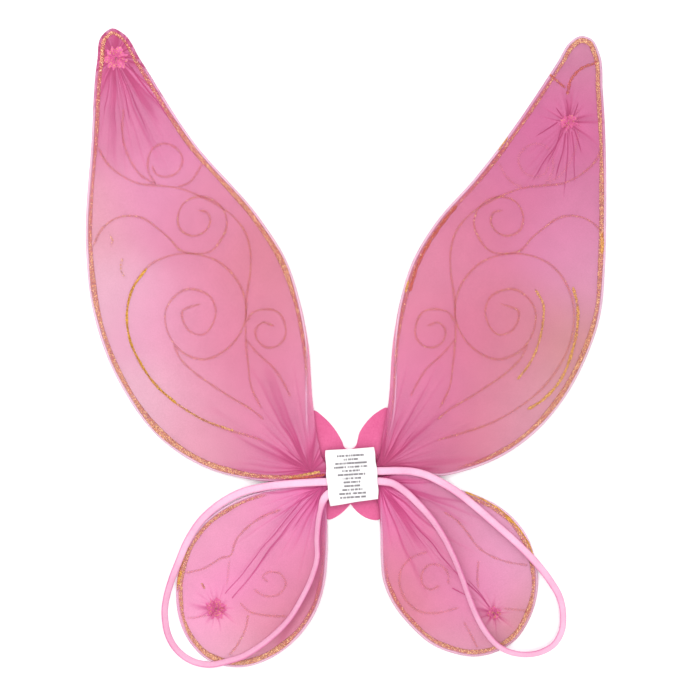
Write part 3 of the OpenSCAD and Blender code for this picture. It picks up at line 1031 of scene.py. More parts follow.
@dataclass(frozen=True)
class GlueFinish:
    """Dried clear glue, yellowish and lumpy, with small bubbles."""

    name: str = "glue_dry"
    colour: tuple = (240, 228, 196)
    dark: tuple = (222, 200, 158)
    bubbles: float = 900.0

    def build(self) -> Material:
        """Makes the material.

        Returns:
            The material.
        """
        material, nodes, shader = new_material(self.name)
        where = nodes.place()
        lumps = nodes.mottled(where, 0.003)
        bubbles = nodes.add("TexVoronoi", {"Vector": where, "Scale": self.bubbles}).outputs[0]
        colour = nodes.mix(lumps, shade(*self.colour), shade(*self.dark))
        nodes.put(shader.inputs["Base Color"], colour)
        height = nodes.plus(lumps, nodes.span(bubbles, 0.0, 0.3, 0.3, 0.0))
        nodes.relief(shader, height, 0.5, 0.0005)
        nodes.put(shader.inputs["Roughness"], nodes.span(lumps, 0.0, 1.0, 0.15, 0.35))
        shader.inputs["Coat Weight"].default_value = 0.5
        return material


# ---------------------------------------------------------------- the print


class Face(Enum):
    """The two layers of a sleeve."""

    WEARER = 1
    OUTER = -1


@dataclass(frozen=True)
class Stroke:
    """One printed line: its points, how many flakes come through, their gold, its width and stain."""

    points: tuple
    through: float = 0.0
    bright: float = 0.0
    width: float = 2.8
    stain: float = 0.17


UPPER_SWIRLS = (
    Stroke(((-78, 32), (-133, 51), (-175, 82), (-198, 122), (-201, 142), (-199, 160), (-180, 190),
            (-151, 200), (-116, 191), (-95, 160), (-95, 139), (-114, 112), (-132, 105), (-147, 109),
            (-166, 136), (-166, 149), (-147, 168), (-125, 160), (-121, 148), (-134, 127), (-144, 130),
            (-151, 148), (-135, 155)), 0.12),
    Stroke(((-159, 118), (-153, 106), (-140, 93), (-123, 81), (-106, 70), (-89, 60), (-78, 51)), 0.12),
    Stroke(((-227, 296), (-220, 283), (-207, 271), (-190, 263), (-171, 261), (-155, 259), (-138, 253),
            (-122, 245), (-106, 234), (-95, 220), (-90, 202), (-90, 184), (-93, 163), (-94, 142),
            (-94, 120), (-92, 101), (-89, 80), (-80, 61)), 0.10),
    Stroke(((-93, 139), (-89, 146), (-78, 150), (-66, 148), (-59, 137), (-59, 125), (-66, 117), (-76, 116),
            (-84, 123), (-85, 132), (-79, 138), (-69, 135)), 0.12),
    Stroke(((-94, 123), (-83, 110), (-68, 96), (-58, 80), (-54, 72)), 0.0),
    Stroke(((-231, 207), (-225, 220), (-214, 230), (-200, 234), (-187, 232), (-175, 224), (-162, 213),
            (-153, 203), (-140, 200), (-126, 202), (-116, 213), (-111, 227), (-114, 239), (-123, 248),
            (-137, 251), (-149, 246), (-155, 234), (-153, 222), (-142, 216), (-132, 219), (-126, 230),
            (-129, 237), (-137, 239)), 0.14),
    Stroke(((-175, 263), (-181, 272), (-182, 284), (-177, 295), (-167, 299), (-157, 295), (-151, 286),
            (-155, 274), (-165, 269), (-175, 272), (-178, 279)), 0.05),
    Stroke(((-155, 260), (-145, 264), (-137, 274), (-133, 282)), 0.0),
    Stroke(((-204, 330), (-205, 310), (-203, 297), (-198, 284), (-189, 271), (-175, 262)), 0.04),
)
UPPER_LEFT_BRIGHT = (
    Stroke(((-183, 187), (-196, 168), (-201, 142), (-198, 122), (-190, 104), (-175, 82), (-156, 65)),
           0.95, 1.0, 2.6),
    Stroke(((-156, 65), (-133, 51), (-105, 41)), 0.6, 0.4, 2.4),
    Stroke(((-55, -1.2), (-45, 0.5), (-35, 2.4), (-27, 4.0)), 0.95, 0.5, 3.4),
    Stroke(((-52, -2.2), (-40, -1.4), (-28, 0.8), (-23, 1.6)), 0.0, 0.0, 3.0, 0.9),
    Stroke(((-216, 218), (-214, 212), (-215, 206)), 0.2, 0.4, 3.0, 0.0),
    Stroke(((-205, 196), (-206, 186), (-203, 178)), 0.2, 0.4, 4.0, 0.0),
)
UPPER_RIGHT_BRIGHT = (
    Stroke(((200, 170), (204, 153), (204, 136), (200, 115), (189, 87), (172, 68), (159, 60)), 0.75, 0.7,
           3.2),
    Stroke(((166, 168), (173, 155), (173, 139), (169, 120), (162, 103), (150, 87)), 0.7, 0.6, 2.6),
    Stroke(((222, 372), (207, 366), (198, 356), (195, 343)), 0.1, 0.3, 3.4, 0.55),
    Stroke(((179, 361), (187, 354), (193, 349)), 0.15, 0.3, 3.0, 0.5),
    Stroke(((141.5, 304.5), (133, 292.5)), 0.8, 0.6, 1.8, 0.5),
    Stroke(((52.4, 176), (49.2, 165)), 0.9, 0.6, 2.4, 0.6),
    Stroke(((225.5, 219), (226.2, 210), (225.8, 200)), 0.95, 0.7, 4.0, 0.8),
    Stroke(((95, 243), (83, 228), (69, 207), (60, 189), (53, 166)), 0.08, 0.0, 3.8, 0.7),
)
LOWER_LEFT_SWIRLS = (
    Stroke(((-149, -87), (-132, -83), (-114, -73), (-109, -72), (-103, -58), (-95, -48), (-78, -36),
            (-63, -30)), 0.10),
    Stroke(((-109, -76), (-110, -87), (-111, -98)), stain=0.08),
    Stroke(((-58, -126), (-76, -125), (-92, -121), (-99, -114)), 0.08),
    Stroke(((-87, -101), (-81, -106), (-72, -108), (-63, -105), (-58, -96), (-63, -88), (-72, -86),
            (-79, -90), (-74, -95)), 0.06, stain=0.12),
    Stroke(((-92, -125), (-94, -136), (-102, -152), (-109, -161)), 0.15),
    Stroke(((-147, -128), (-138, -127), (-128, -125)), stain=0.12),
    Stroke(((-145, -63.5), (-150.5, -77), (-154.8, -92), (-155.4, -103)), 0.6, 0.6, 1.8, 0.5),
    Stroke(((-151.5, -85), (-154, -92), (-154.4, -98)), 0.95, 0.8, 3.0, 0.6),
    Stroke(((-134, -96), (-131, -101)), 0.5, 0.5, 2.6, 0.4),
)
LOWER_RIGHT_SWIRLS = (
    Stroke(((84, -32), (97, -41), (108, -55), (115, -64), (127, -72), (141, -77), (159, -80)), 0.08),
    Stroke(((115, -76), (114, -91), (115, -101)), stain=0.18),
    Stroke(((97, -118), (77, -123), (61, -121), (49, -110), (44, -96), (47, -81), (57, -72), (69, -68)),
           0.04, stain=0.12),
    Stroke(((80, -98), (72, -102), (65, -97), (64, -88), (70, -80), (80, -80), (87, -86), (88, -97)), 0.04,
           stain=0.12),
    Stroke(((102, -131), (108, -142), (114, -154)), 0.05),
    Stroke(((138, -119), (160, -121)), 0.05, stain=0.15),
    Stroke(((103, -14), (121, -22), (138.5, -33.5), (151.5, -47.5), (160.5, -61.5), (165.5, -76)), 0.9, 0.9,
           1.8, 0.6),
    Stroke(((139, -35), (146, -42)), 0.95, 1.0, 3.6, 0.6),
)


def mirrored(strokes: tuple[Stroke, ...], stain: float) -> tuple[Stroke, ...]:
    """The same strokes on the other side, with another stain.

    Args:
        strokes: Strokes of the left wing.
        stain: What all of them get.

    Returns:
        Strokes of the right wing, kept inside its hoop.
    """
    return tuple(replace(stroke, points=tuple((min(-x, RIGHT_INSIDE), y) for x, y in stroke.points),
                         stain=stain)
                 for stroke in strokes)


# ---------------------------------------------------------------- the wings


@dataclass(frozen=True)
class Folds:
    """Straight folds of gathered nylon, each from its start to its end, in metres."""

    starts: Array
    ends: Array
    half: float = 0.9 * MM

    @staticmethod
    def fan(centre: tuple[float, float], angles: tuple, lengths: tuple, first: float = 2.0) -> "Folds":
        """Folds that run out of one point.

        Args:
            centre: The point, in millimetres.
            angles: Direction of each fold, in degrees from +X towards +Y.
            lengths: Length of each fold, in millimetres.
            first: Distance from the point to the folds' starts, in millimetres.

        Returns:
            The folds.
        """
        turn = np.radians(np.array(angles, float))
        way = np.column_stack([np.cos(turn), np.sin(turn)])
        start = mm([centre])
        return Folds(start + way * first * MM, start + way * np.array(lengths, float)[:, None] * MM)

    def joined(self, *others: "Folds") -> "Folds":
        """These folds and others."""
        every = (self, *others)
        return Folds(np.vstack([f.starts for f in every]), np.vstack([f.ends for f in every]), self.half)

    def share(self, xy: Array) -> tuple[Array, Array]:
        """How much of a fold's ridge and of the crease beside it each point has, from 0 to 1.

        Formula: a bell over the distance from the fold's line, which widens along the fold,
        times a quick rise at its start and a slow fall to its end; the highest fold counts. The
        crease is a narrower bell to one side of the ridge.

        Args:
            xy: Points on the level.

        Returns:
            The ridge's share and the crease's share.
        """
        way = self.ends - self.starts
        length = np.linalg.norm(way, axis=1)
        way = way / length[:, None]
        rel = xy[:, None] - self.starts[None]
        along = (rel * way[None]).sum(2) / length[None]
        across = rel[..., 0] * way[None, :, 1] - rel[..., 1] * way[None, :, 0]
        held = np.clip(along, 0, 1)
        half = self.half * (0.7 + 1.1 * held)
        fade = smooth_step(along * 12 + 0.4) * (1 - held) ** 0.7
        ridge = (np.exp(-((across / half) ** 2)) * fade).max(axis=1)
        crease = (np.exp(-(((across - 1.35 * half) / (0.55 * half)) ** 2)) * fade).max(axis=1)
        return ridge, crease


@dataclass(frozen=True)
class ToeKnot:
    """The tied toe of a sleeve: a button of nylon inside a ruffled ring."""

    radius: float
    height: float
    ruffles: int
    ring: float = 0.62
    button: float = 0.8
    button_spread: float = 0.24
    sides: int = 96
    rings_up: int = 22
    rings_back: int = 8

    def rings(self) -> Array:
        """Rings of the knot about its own middle.

        Formula: the height is a bell at the ring's radius plus a bell at the middle; the ring's
        height and the outer radius swing with the angle, so that it is ruffled.

        Returns:
            Rings by corners by xyz.
        """
        angle = np.linspace(0, math.tau, self.sides, endpoint=False)[None]
        out = np.concatenate([np.linspace(0.03, 1, self.rings_up),
                              np.linspace(0.97, 0.03, self.rings_back)])[:, None]
        top = (np.arange(self.rings_up + self.rings_back) < self.rings_up)[:, None]
        swing = np.cos(self.ruffles * angle + 1.6 * np.sin(3 * angle) + 2.5 * out)
        fine = np.cos((2 * self.ruffles + 3) * angle + 1.1 * np.cos(5 * angle))
        ring = np.exp(-(((out - self.ring) / 0.24) ** 2)) * (0.75 + 0.25 * swing + 0.12 * fine)
        middle = self.button * np.exp(-((out / self.button_spread) ** 2)) * (1 + 0.06 * fine)
        skirt = 0.12 * (1 - out) + 0.06 * swing * out
        height = np.where(top, self.height * np.clip(np.maximum(ring, middle) + skirt, 0.02, 1.1), -0.2 * MM)
        radius = self.radius * out * (1 + 0.10 * out**2 * swing + 0.04 * out**2 * fine)
        return np.stack([radius * np.cos(angle), radius * np.sin(angle), height * np.ones_like(angle)],
                        axis=-1)


@dataclass(frozen=True)
class WingFinishes:
    """The materials that all wings share."""

    glitter: Material
    wire: Material


@dataclass
class Wing:
    """One wing: its sleeve, hoop, tied toe and gold print."""

    name: str
    side: int
    outline: Array
    hoop_line: Array
    bend: Array
    toe: tuple[float, float]
    root: tuple[float, float]
    knot: ToeKnot
    folds: Folds
    strokes: tuple[Stroke, ...]
    tints: tuple
    edge_through: tuple
    crease_and_shadow_lines: tuple
    toe_reach: float = 30.0
    toe_count: float = 3.0
    tint_spread: float = 0.026
    toe_bell: float = 40.0
    root_bell: float = 34.0
    tint_gain: tuple = (0.848, 0.838, 0.852)
    fold_height: float = 0.55 * MM
    rows: int = 210
    top_columns: int = 230
    bottom_columns: int = 110
    rim_columns: int = 6

    def way_out(self) -> Array:
        """Unit vector square to the bend line, out into the wing."""
        along = self.bend[1] - self.bend[0]
        return np.array([-along[1], along[0]]) / np.linalg.norm(along)

    def droop(self, points: Array) -> Array:
        """Turns what lies beyond the bend line about it, until the tip rests on the table.

        Args:
            points: Places of the level wing, in any arrangement.

        Returns:
            The same places with the wing drooped.
        """
        way, start = self.way_out(), self.bend[0]
        reach = ((smooth_curve(self.outline, 9 * MM) - start) @ way).max()
        angle = math.asin(SLEEVE_Z / reach)
        out = (points[..., :2] - start) @ way
        rise = points[..., 2] - MID_Z
        turned = out * math.cos(angle) + rise * math.sin(angle)
        moved = points.copy()
        moved[..., :2] += (turned - out)[..., None] * way
        moved[..., 2] = MID_Z + rise * math.cos(angle) - out * math.sin(angle)
        return np.where((out > 0)[..., None], moved, points)

    def hoop_path(self) -> Array:
        """Middle line of the wire, level, from inside the binding and back.

        Returns:
            Level points.
        """
        line = smooth_curve(self.hoop_line, 3 * MM)
        loop = line + left_of(line) * EDGE_TO_WIRE
        inside = -self.side * BINDING_HALF
        ends = np.array([[inside, loop[0, 1]], [inside, loop[-1, 1]]])
        return np.vstack([ends[:1], loop, ends[1:]])

    def gap(self, xy: Array) -> Array:
        """Half the space between the layers: a bell over the distance to the wire, on a low floor."""
        away = np.maximum(nearest(xy, self.hoop_path()) - WIRE_RADIUS, 0)
        return MIDDLE_GAP + (RIM_GAP - MIDDLE_GAP) * np.exp(-((away / TENT) ** 2))

    def layer(self, xy: Array, face: Face) -> tuple[Array, Array]:
        """Height of one layer over the wing's middle plane, and how creased it is.

        Args:
            xy: Level points.
            face: The layer.

        Returns:
            The heights, and the shares of ridge and of crease.
        """
        ridge, crease = self.folds.share(xy)
        share = 1.0 if face is Face.WEARER else 0.35
        rise = self.gap(xy) + self.fold_height * share * (ridge - 0.35 * crease)
        return face.value * rise, np.stack([ridge, crease], axis=1) * share

    def gathered(self, xy: Array) -> Array:
        """How closely the nylon is gathered: bells about the root and the tied toe.

        Args:
            xy: Level points.

        Returns:
            A share from 0 to 1 for each.
        """
        root = np.linalg.norm(xy - mm([self.root]), axis=1) / (self.root_bell * MM)
        toe = np.linalg.norm(xy - mm([self.toe]), axis=1) / (self.toe_bell * MM)
        return np.clip(np.exp(-(root**2)) + 0.8 * np.exp(-(toe**2)), 0, 1)

    def tint(self, xy: Array) -> Array:
        """Colour of the nylon: the mean of the tint spots, each counting by a bell of its distance.

        Args:
            xy: Level points.

        Returns:
            Linear light for each.
        """
        places = mm([spot[:2] for spot in self.tints])
        colours = np.array([linear(*spot[2:]) for spot in self.tints]) * self.tint_gain
        square = ((xy[:, None] - places[None]) ** 2).sum(2)
        weight = np.exp(-square / (2 * self.tint_spread**2)) + 1e-9
        return weight @ colours / weight.sum(1, keepdims=True)

    @staticmethod
    def spread(count: int) -> Array:
        """Shares from 0 to 1, closer together towards both ends: a line less a small wave."""
        share = np.linspace(0, 1, count)
        return share - 0.095 * np.sin(math.tau * share)

    def sleeve(self) -> Piece:
        """The nylon sleeve as one closed bag.

        Formula: row t joins the point at share t of one side of the outline to that of the other
        side; each row goes over the top layer, round the wire in a half circle, back under the
        outer layer and round the other wire.

        Returns:
            The piece, with tint, ridge, crease, near, rim and outer marks.
        """
        path = smooth_curve(self.outline, 0.5 * MM)
        both = np.column_stack([path + left_of(path) * EDGE_TO_WIRE, -left_of(path)])
        both = both[np.abs(both[:, 0]) >= NECK_END]
        tip = int(np.linalg.norm(both[:, :2] - both[[0, -1], :2].mean(0), axis=1).argmax())
        shares = np.linspace(0, 1, self.rows)
        sides = (both[:tip + 1], both[tip:][::-1])
        first, last = (resample(side, shares, run_of(side[:, :2])) for side in sides)
        across = self.spread(self.top_columns)[None, :, None]
        back = self.spread(self.bottom_columns)[None, ::-1, None]
        round_it = np.linspace(math.pi / 2, -math.pi / 2, self.rim_columns + 2)[1:-1]
        flat, rise, fold, outer = [], [], [], []
        layers = ((across, Face.WEARER, last, round_it), (back, Face.OUTER, first, -round_it))
        for share, face, edge, turn in layers:
            sheet = first[:, None, :2] + share * (last - first)[:, None, :2]
            height, crease = self.layer(sheet.reshape(-1, 2), face)
            radius = self.gap(edge[:, :2])[:, None]
            flat += [sheet, edge[:, None, :2] + edge[:, None, 2:] * (radius * np.cos(turn))[..., None]]
            rise += [height.reshape(sheet.shape[:2]), radius * np.sin(turn)]
            fold += [crease.reshape(*sheet.shape[:2], 2), np.zeros((self.rows, len(turn), 2))]
            outer += [np.full(sheet.shape[:2], float(face is Face.OUTER)),
                      np.full((self.rows, len(turn)), 0.5)]
        flat = np.concatenate(flat, axis=1)
        points = np.concatenate([flat, np.concatenate(rise, axis=1)[..., None] + MID_Z], axis=-1)
        level = flat.reshape(-1, 2)
        tint = self.tint(level).reshape(*flat.shape[:2], 3)
        rim = np.exp(-((nearest(level, self.hoop_path()) / (1.25 * MM)) ** 2))
        beside = np.exp(-((nearest(level, path) / (3.2 * MM)) ** 2))
        rim = (rim * (0.35 + 0.65 * beside)).reshape(flat.shape[:2])
        near = self.gathered(level).reshape(flat.shape[:2])
        ridge, crease = np.moveaxis(np.concatenate(fold, axis=1), 2, 0)
        shape = Shape.tube(self.droop(points), tint=tint, ridge=ridge, crease=crease, near=near, rim=rim,
                           outer=np.concatenate(outer, axis=1))
        return shape.to_object(f"{self.name}_sleeve", weld=True)

    def hoop(self) -> Piece:
        """The coated wire: a circle carried along the hoop's line.

        Returns:
            The piece.
        """
        path = self.hoop_path()
        level = np.column_stack([path, np.full(len(path), MID_Z)])
        circle = oval(2 * WIRE_RADIUS, 2 * WIRE_RADIUS, 14)
        return Shape.tube(sweep(self.droop(level), circle)).to_object(f"{self.name}_hoop")

    def tied_toe(self) -> Piece:
        """The tied toe, standing on the wearer's side of the sleeve.

        Returns:
            The piece.
        """
        centre = mm([self.toe])
        base = MID_Z + self.layer(centre, Face.WEARER)[0][0] - 0.3 * MM
        points = self.knot.rings() + np.array([*centre[0], base])
        return Shape.tube(self.droop(points)).to_object(f"{self.name}_toe_knot", weld=True)

    def bead(self, path: Array, width: Array, face: Face, strength: Array, bright: float,
             stain: Array) -> Shape:
        """One printed line as a thin lens-shaped bead along a path on one layer.

        Args:
            path: Level points.
            width: The line's width at each.
            face: The layer.
            strength: Share of flakes at each.
            bright: How golden the flakes are.
            stain: How much soaks through at each.

        Returns:
            The bead, with its marks.
        """
        height = self.layer(path, face)[0]
        line = np.column_stack([path, MID_Z + height])
        lens = oval(1.0, 1.0, 10)
        ones = np.ones((len(path), len(lens)))
        section = np.stack([lens[None, :, 0] * width[:, None], ones * lens[None, :, 1] * PRINT_HEIGHT],
                           axis=-1)
        marks = {"strength": ones * strength[:, None], "across": ones * 2 * lens[None, :, 0],
                 "bright": ones * bright, "stain": ones * stain[:, None]}
        return Shape.tube(self.droop(sweep(line, section)), **marks)

    def edge_band(self, face: Face) -> Shape:
        """The band of glitter just inside the hoop, with its strength along the outline.

        Args:
            face: The layer.

        Returns:
            The bead.
        """
        path = smooth_curve(self.outline, 1.6 * MM)
        path = path + left_of(path) * PRINT_INSET
        path = path[np.linalg.norm(path, axis=1) > PRINT_START]
        run = run_of(path) / run_of(path)[-1]
        wave = 0.9 + 0.22 * np.sin(run * 61) * np.sin(run * 23 + 1)
        places, through, widths = (np.array(part) for part in zip(*self.edge_through))
        shown = np.interp(run, places, through)
        printed = np.clip(shown * 4, 0, 1)
        strength, stain = (shown, 0.35 * printed) if face is Face.WEARER else (0.8 * printed, 0 * printed)
        width = np.interp(run, places, widths) * MM * wave
        return self.bead(path, width, face, strength, 0.0, stain)

    def print_on(self, face: Face) -> Piece:
        """All the gold on one layer.

        Args:
            face: The layer.

        Returns:
            The piece.
        """
        shapes = [self.edge_band(face)]
        for stroke in self.strokes:
            strength, stain = (0.62, 0.0) if face is Face.OUTER else (stroke.through, stroke.stain)
            path = smooth_curve(mm(stroke.points), 1.4 * MM)
            share = np.linspace(0, 1, len(path))
            wave = 0.85 + 0.15 * np.sin(share * 40)
            width = stroke.width * MM * wave * smooth_step(np.minimum(share, 1 - share) * 30 + 0.4)
            even = np.ones(len(path))
            shapes.append(self.bead(path, width, face, even * strength, stroke.bright, even * stain))
        kind = "outer" if face is Face.OUTER else "through"
        return Shape.joined(shapes).to_object(f"{self.name}_glitter_{kind}")

    def bend_points(self) -> tuple:
        """Where the bend starts and ends, on either side of the bend line."""
        middle, way = self.bend.mean(0), self.way_out() * BLEND_HALF
        return (*(middle - way), MID_Z), (*(middle + way), MID_Z)

    def bend_on(self, piece: Piece) -> None:
        """Bakes a piece's transform into its mesh; where the bend would start and end is worked out but not
        used, so nothing bends.
        """
        start, end = self.bend_points()
        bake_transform(piece)

    def build(self, finishes: WingFinishes) -> list[Piece]:
        """Args:
            finishes: The shared materials.

        Returns:
            The pieces.
        """
        sleeve, hoop, toe = self.sleeve(), self.hoop(), self.tied_toe()
        prints = [self.print_on(face) for face in Face]
        toe_place, root_place = (tuple(part * MM for part in place) for place in (self.toe, self.root))
        nylon = NylonFinish(f"{self.name}_nylon", toe_place, root_place, self.crease_and_shadow_lines, self.toe_reach * MM,
                            self.toe_count)
        sleeve.data.materials.append(nylon.build())
        hoop.data.materials.append(finishes.wire)
        toe.data.materials.append(KnotFinish(f"{self.name}_knot", toe_place).build())
        for piece in prints:
            piece.data.materials.append(finishes.glitter)
        for piece in (sleeve, hoop, *prints):
            self.bend_on(piece)
        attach(toe, f"{self.name}_wing")
        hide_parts(f"{self.name}_cover", f"{self.name}_cover_neck")
        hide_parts(f"{self.name}_wire", f"{self.name}_wire_legs")
        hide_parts(f"{self.name}_toe_gather")
        return [sleeve, hoop, toe, *prints]


def upper_left() -> Wing:
    """The long wing on the left.

    Returns:
        The wing.
    """
    down = Folds.fan((-212, 375), (-106, -99, -93, -88, -83, -78, -73, -68, -63, -57, -51),
                     (48, 80, 100, 60, 115, 96, 122, 70, 110, 88, 60), 6)
    root = Folds.fan((-36, 4), (84, 93, 100, 108, 116, 122, 129, 136, 143, 151, 160, 169),
                     (120, 70, 100, 60, 95, 55, 90, 70, 60, 85, 50, 60), 1)
    return Wing(
        "upper_left", -1, UPPER_LEFT, UPPER_LEFT_FRAME, mm([(-71, -2.5), (-34.5, 76)]), (-211, 375.5),
        (-36, 4), ToeKnot(10.5 * MM, 2.4 * MM, 9), down.joined(root), UPPER_SWIRLS + UPPER_LEFT_BRIGHT,
        ((-212, 370, 216, 110, 158), (-222, 322, 222, 128, 166), (-180, 325, 227, 128, 172),
         (-230, 232, 234, 168, 182), (-188, 248, 234, 146, 186), (-135, 225, 228, 136, 168),
         (-77, 190, 226, 130, 152), (-224, 158, 240, 188, 205), (-182, 142, 240, 168, 198),
         (-133, 140, 235, 144, 176), (-95, 135, 229, 130, 160), (-60, 155, 228, 138, 162),
         (-180, 68, 243, 192, 208), (-133, 78, 239, 158, 186), (-90, 95, 228, 125, 160),
         (-50, 104, 235, 142, 175), (-133, 33, 239, 168, 188), (-90, 40, 231, 135, 170),
         (-58, 48, 231, 130, 172), (-55, 16, 228, 128, 171)),
        ((0, 0.0, 3.0), (0.05, 0.0, 3.4), (0.16, 0.55, 5.0), (0.30, 0.6, 5.2), (0.38, 0.3, 4.0),
         (0.46, 0.6, 4.4), (0.52, 0.3, 4.0), (0.62, 0.2, 3.6), (0.70, 0.5, 5.0), (0.84, 0.65, 5.4),
         (0.93, 0.7, 6.0), (1, 0.3, 4.0)),
        # Dark lines: crease lines, and the wide last one is painted shadow along the left elastic.
        (((-200, 370), (-172, 333), 1.2, 1), ((-197, 367), (-155, 311), 1.0, 1),
         ((-203, 365), (-186, 335), 1.1, 1), ((-208, 364), (-196, 312), 1.0, 0.9),
         ((-215, 364), (-222, 322), 1.0, 0.8), ((-212, 363), (-212, 300), 1.0, 0.8),
         ((-206, 364), (-178, 300), 1.0, 0.9), ((-218, 366), (-229, 330), 1.0, 0.8),
         ((-36, 5), (-64, 54), 1.0, 1), ((-36.5, 7), (-62, 27), 1.1, 1), ((-35, 8), (-47, 29), 1.0, 0.9),
         ((-37, 5), (-72, 24), 1.0, 0.9), ((-23, 0), (-66, -4), 3.4, 1)), tint_gain=(0.785, 0.738, 0.775),
        toe_reach=95.0, toe_count=5.0)


def upper_right() -> Wing:
    """The long wing on the right.

    Returns:
        The wing.
    """
    toe = Folds.fan((196, 318),
                    (-180, -158, -140, -130, -123, -117, -110, -95, -80, -60, -40, -20, 5, 30, 55, 75, 90,
                     105, 125, 150),
                    (22, 30, 50, 68, 80, 60, 55, 46, 40, 34, 22, 18, 16, 20, 24, 30, 44, 36, 26, 22), 4)
    root = Folds.fan((28, 9), (10, 19, 27, 35, 42, 49, 56, 63, 70, 77, 84, 90),
                     (70, 60, 95, 60, 100, 65, 110, 80, 60, 100, 70, 120), 1)
    return Wing(
        "upper_right", 1, UPPER_RIGHT, UPPER_RIGHT_FRAME, mm([(36.5, 76), (71, -2)]), (196, 318), (28, 9),
        ToeKnot(8.2 * MM, 3.0 * MM, 5, 0.5, 1.0, 0.55), toe.joined(root),
        mirrored(UPPER_SWIRLS[:6], 0.17) + mirrored(UPPER_SWIRLS[6:], 0.05) + UPPER_RIGHT_BRIGHT,
        ((206, 375, 214, 140, 168), (188, 345, 213, 121, 162), (170, 310, 217, 114, 161),
         (216, 310, 210, 112, 155), (150, 275, 218, 118, 162), (215, 250, 219, 132, 170),
         (135, 240, 219, 121, 158), (108, 212, 224, 127, 158), (188, 203, 227, 138, 178),
         (216, 176, 226, 158, 186), (80, 195, 227, 138, 167), (62, 150, 230, 139, 166),
         (150, 140, 221, 131, 153), (200, 122, 214, 150, 146), (98, 131, 222, 119, 152),
         (135, 86, 223, 135, 157), (182, 68, 222, 165, 170), (54, 95, 233, 135, 173),
         (82, 68, 226, 122, 163), (117, 41, 224, 128, 150), (153, 40, 224, 158, 176),
         (54, 41, 224, 122, 166), (72, 12, 214, 112, 150)),
        ((0, 0.0, 3.6), (0.06, 0.0, 4.0), (0.11, 0.5, 4.6), (0.22, 0.6, 5.0), (0.35, 0.6, 4.6),
         (0.47, 0.6, 4.4), (0.55, 0.75, 4.6), (0.60, 0.4, 4.0), (0.75, 0.15, 3.6), (0.88, 0.2, 3.6),
         (1, 0.0, 3.0)),
        # Dark lines: crease lines, and the wide one from (28, 11) to (84, 6) is painted shadow along the
        # right elastic.
        (((191.5, 309), (160, 262), 1.1, 1), ((190, 311), (175.5, 277), 1.1, 1),
         ((194, 308), (183, 262), 1.1, 1), ((196, 308), (192, 246), 1.0, 0.9),
         ((200, 309), (202, 259), 1.0, 0.9), ((202.5, 311), (208, 288), 1.0, 1),
         ((186.5, 318), (166, 304), 1.1, 1), ((190, 324), (184, 332), 1.2, 1),
         ((196, 326), (194, 341), 1.2, 1), ((201, 324), (205, 337), 1.1, 1),
         ((204, 320), (213, 324), 1.0, 0.9), ((30, 12), (45, 60), 1.0, 0.8), ((32, 10), (62, 44), 1.0, 0.9),
         ((28, 11), (84, 6), 4.6, 0.9), ((26, 15), (30, 50), 1.2, 0.7)), tint_gain=(0.80, 0.71, 0.775),
        toe_reach=34.0, toe_count=2.6)


def lower_left() -> Wing:
    """The round wing on the left.

    Returns:
        The wing.
    """
    toe = Folds.fan((-121, -119), (20, 45, 75, 95, 112, 128, 145, 165, 188, 210, 240, 265, 290, 315, 340),
                    (12, 14, 26, 20, 25, 18, 24, 16, 18, 14, 16, 20, 14, 12, 14), 4)
    root = Folds.fan((-26, -9), (200, 208, 215, 222, 228, 234, 241, 249, 257),
                     (60, 80, 100, 70, 120, 90, 80, 60, 90), 2)
    strap = Folds(mm([(-40, -15), (-30, -15), (-62, -55), (-35, -25), (-76, -60)]),
                  mm([(-113, -107), (-62, -55), (-104, -113), (-56, -54), (-38, -14)]))
    return Wing(
        "lower_left", -1, LOWER_LEFT, LOWER_LEFT, mm([(-20.5, -49), (-54.5, -11)]), (-121, -119), (-26, -9),
        ToeKnot(9.4 * MM, 2.6 * MM, 8), toe.joined(root, strap), LOWER_LEFT_SWIRLS,
        ((-45, -24, 236, 133, 184), (-60, -50, 241, 138, 187), (-90, -38, 239, 153, 190),
         (-110, -58, 240, 158, 193), (-128, -78, 241, 162, 194), (-146, -112, 243, 164, 198),
         (-135, -148, 244, 174, 203), (-102, -94, 244, 144, 194), (-72, -85, 237, 139, 180),
         (-44, -76, 234, 134, 174), (-32, -103, 218, 128, 156), (-90, -128, 233, 153, 176),
         (-60, -132, 228, 134, 163), (-108, -158, 240, 174, 194)),
        ((0, 0.0, 3.0), (0.08, 0.0, 3.0), (0.15, 0.6, 3.6), (0.25, 0.6, 4.2), (0.38, 0.6, 4.0),
         (0.47, 0.7, 4.2), (0.55, 0.85, 5.6), (0.68, 0.8, 5.4), (0.76, 0.35, 4.0), (0.86, 0.1, 3.0),
         (1, 0.0, 3.0)),
        # Dark lines: crease lines, and the two wide last ones are painted shadow along the left elastic.
        (((-34, -11), (-113, -105), 0.9, 1), ((-113, -105), (-34, -11), 0.8, 0.9),
         ((-31, -13), (-106, -109), 1.0, 1), ((-106, -109), (-40, -27), 0.9, 0.9),
         ((-32, -19), (-54, -52), 1.0, 1), ((-36, -12), (-66, -40), 0.9, 0.8),
         ((-25, -34), (-33, -122), 7.0, 0.45), ((-36, -100), (-70, -160), 7.0, 0.4)), tint_spread=0.020,
        toe_reach=24.0, toe_count=3.4, rows=170, top_columns=240)


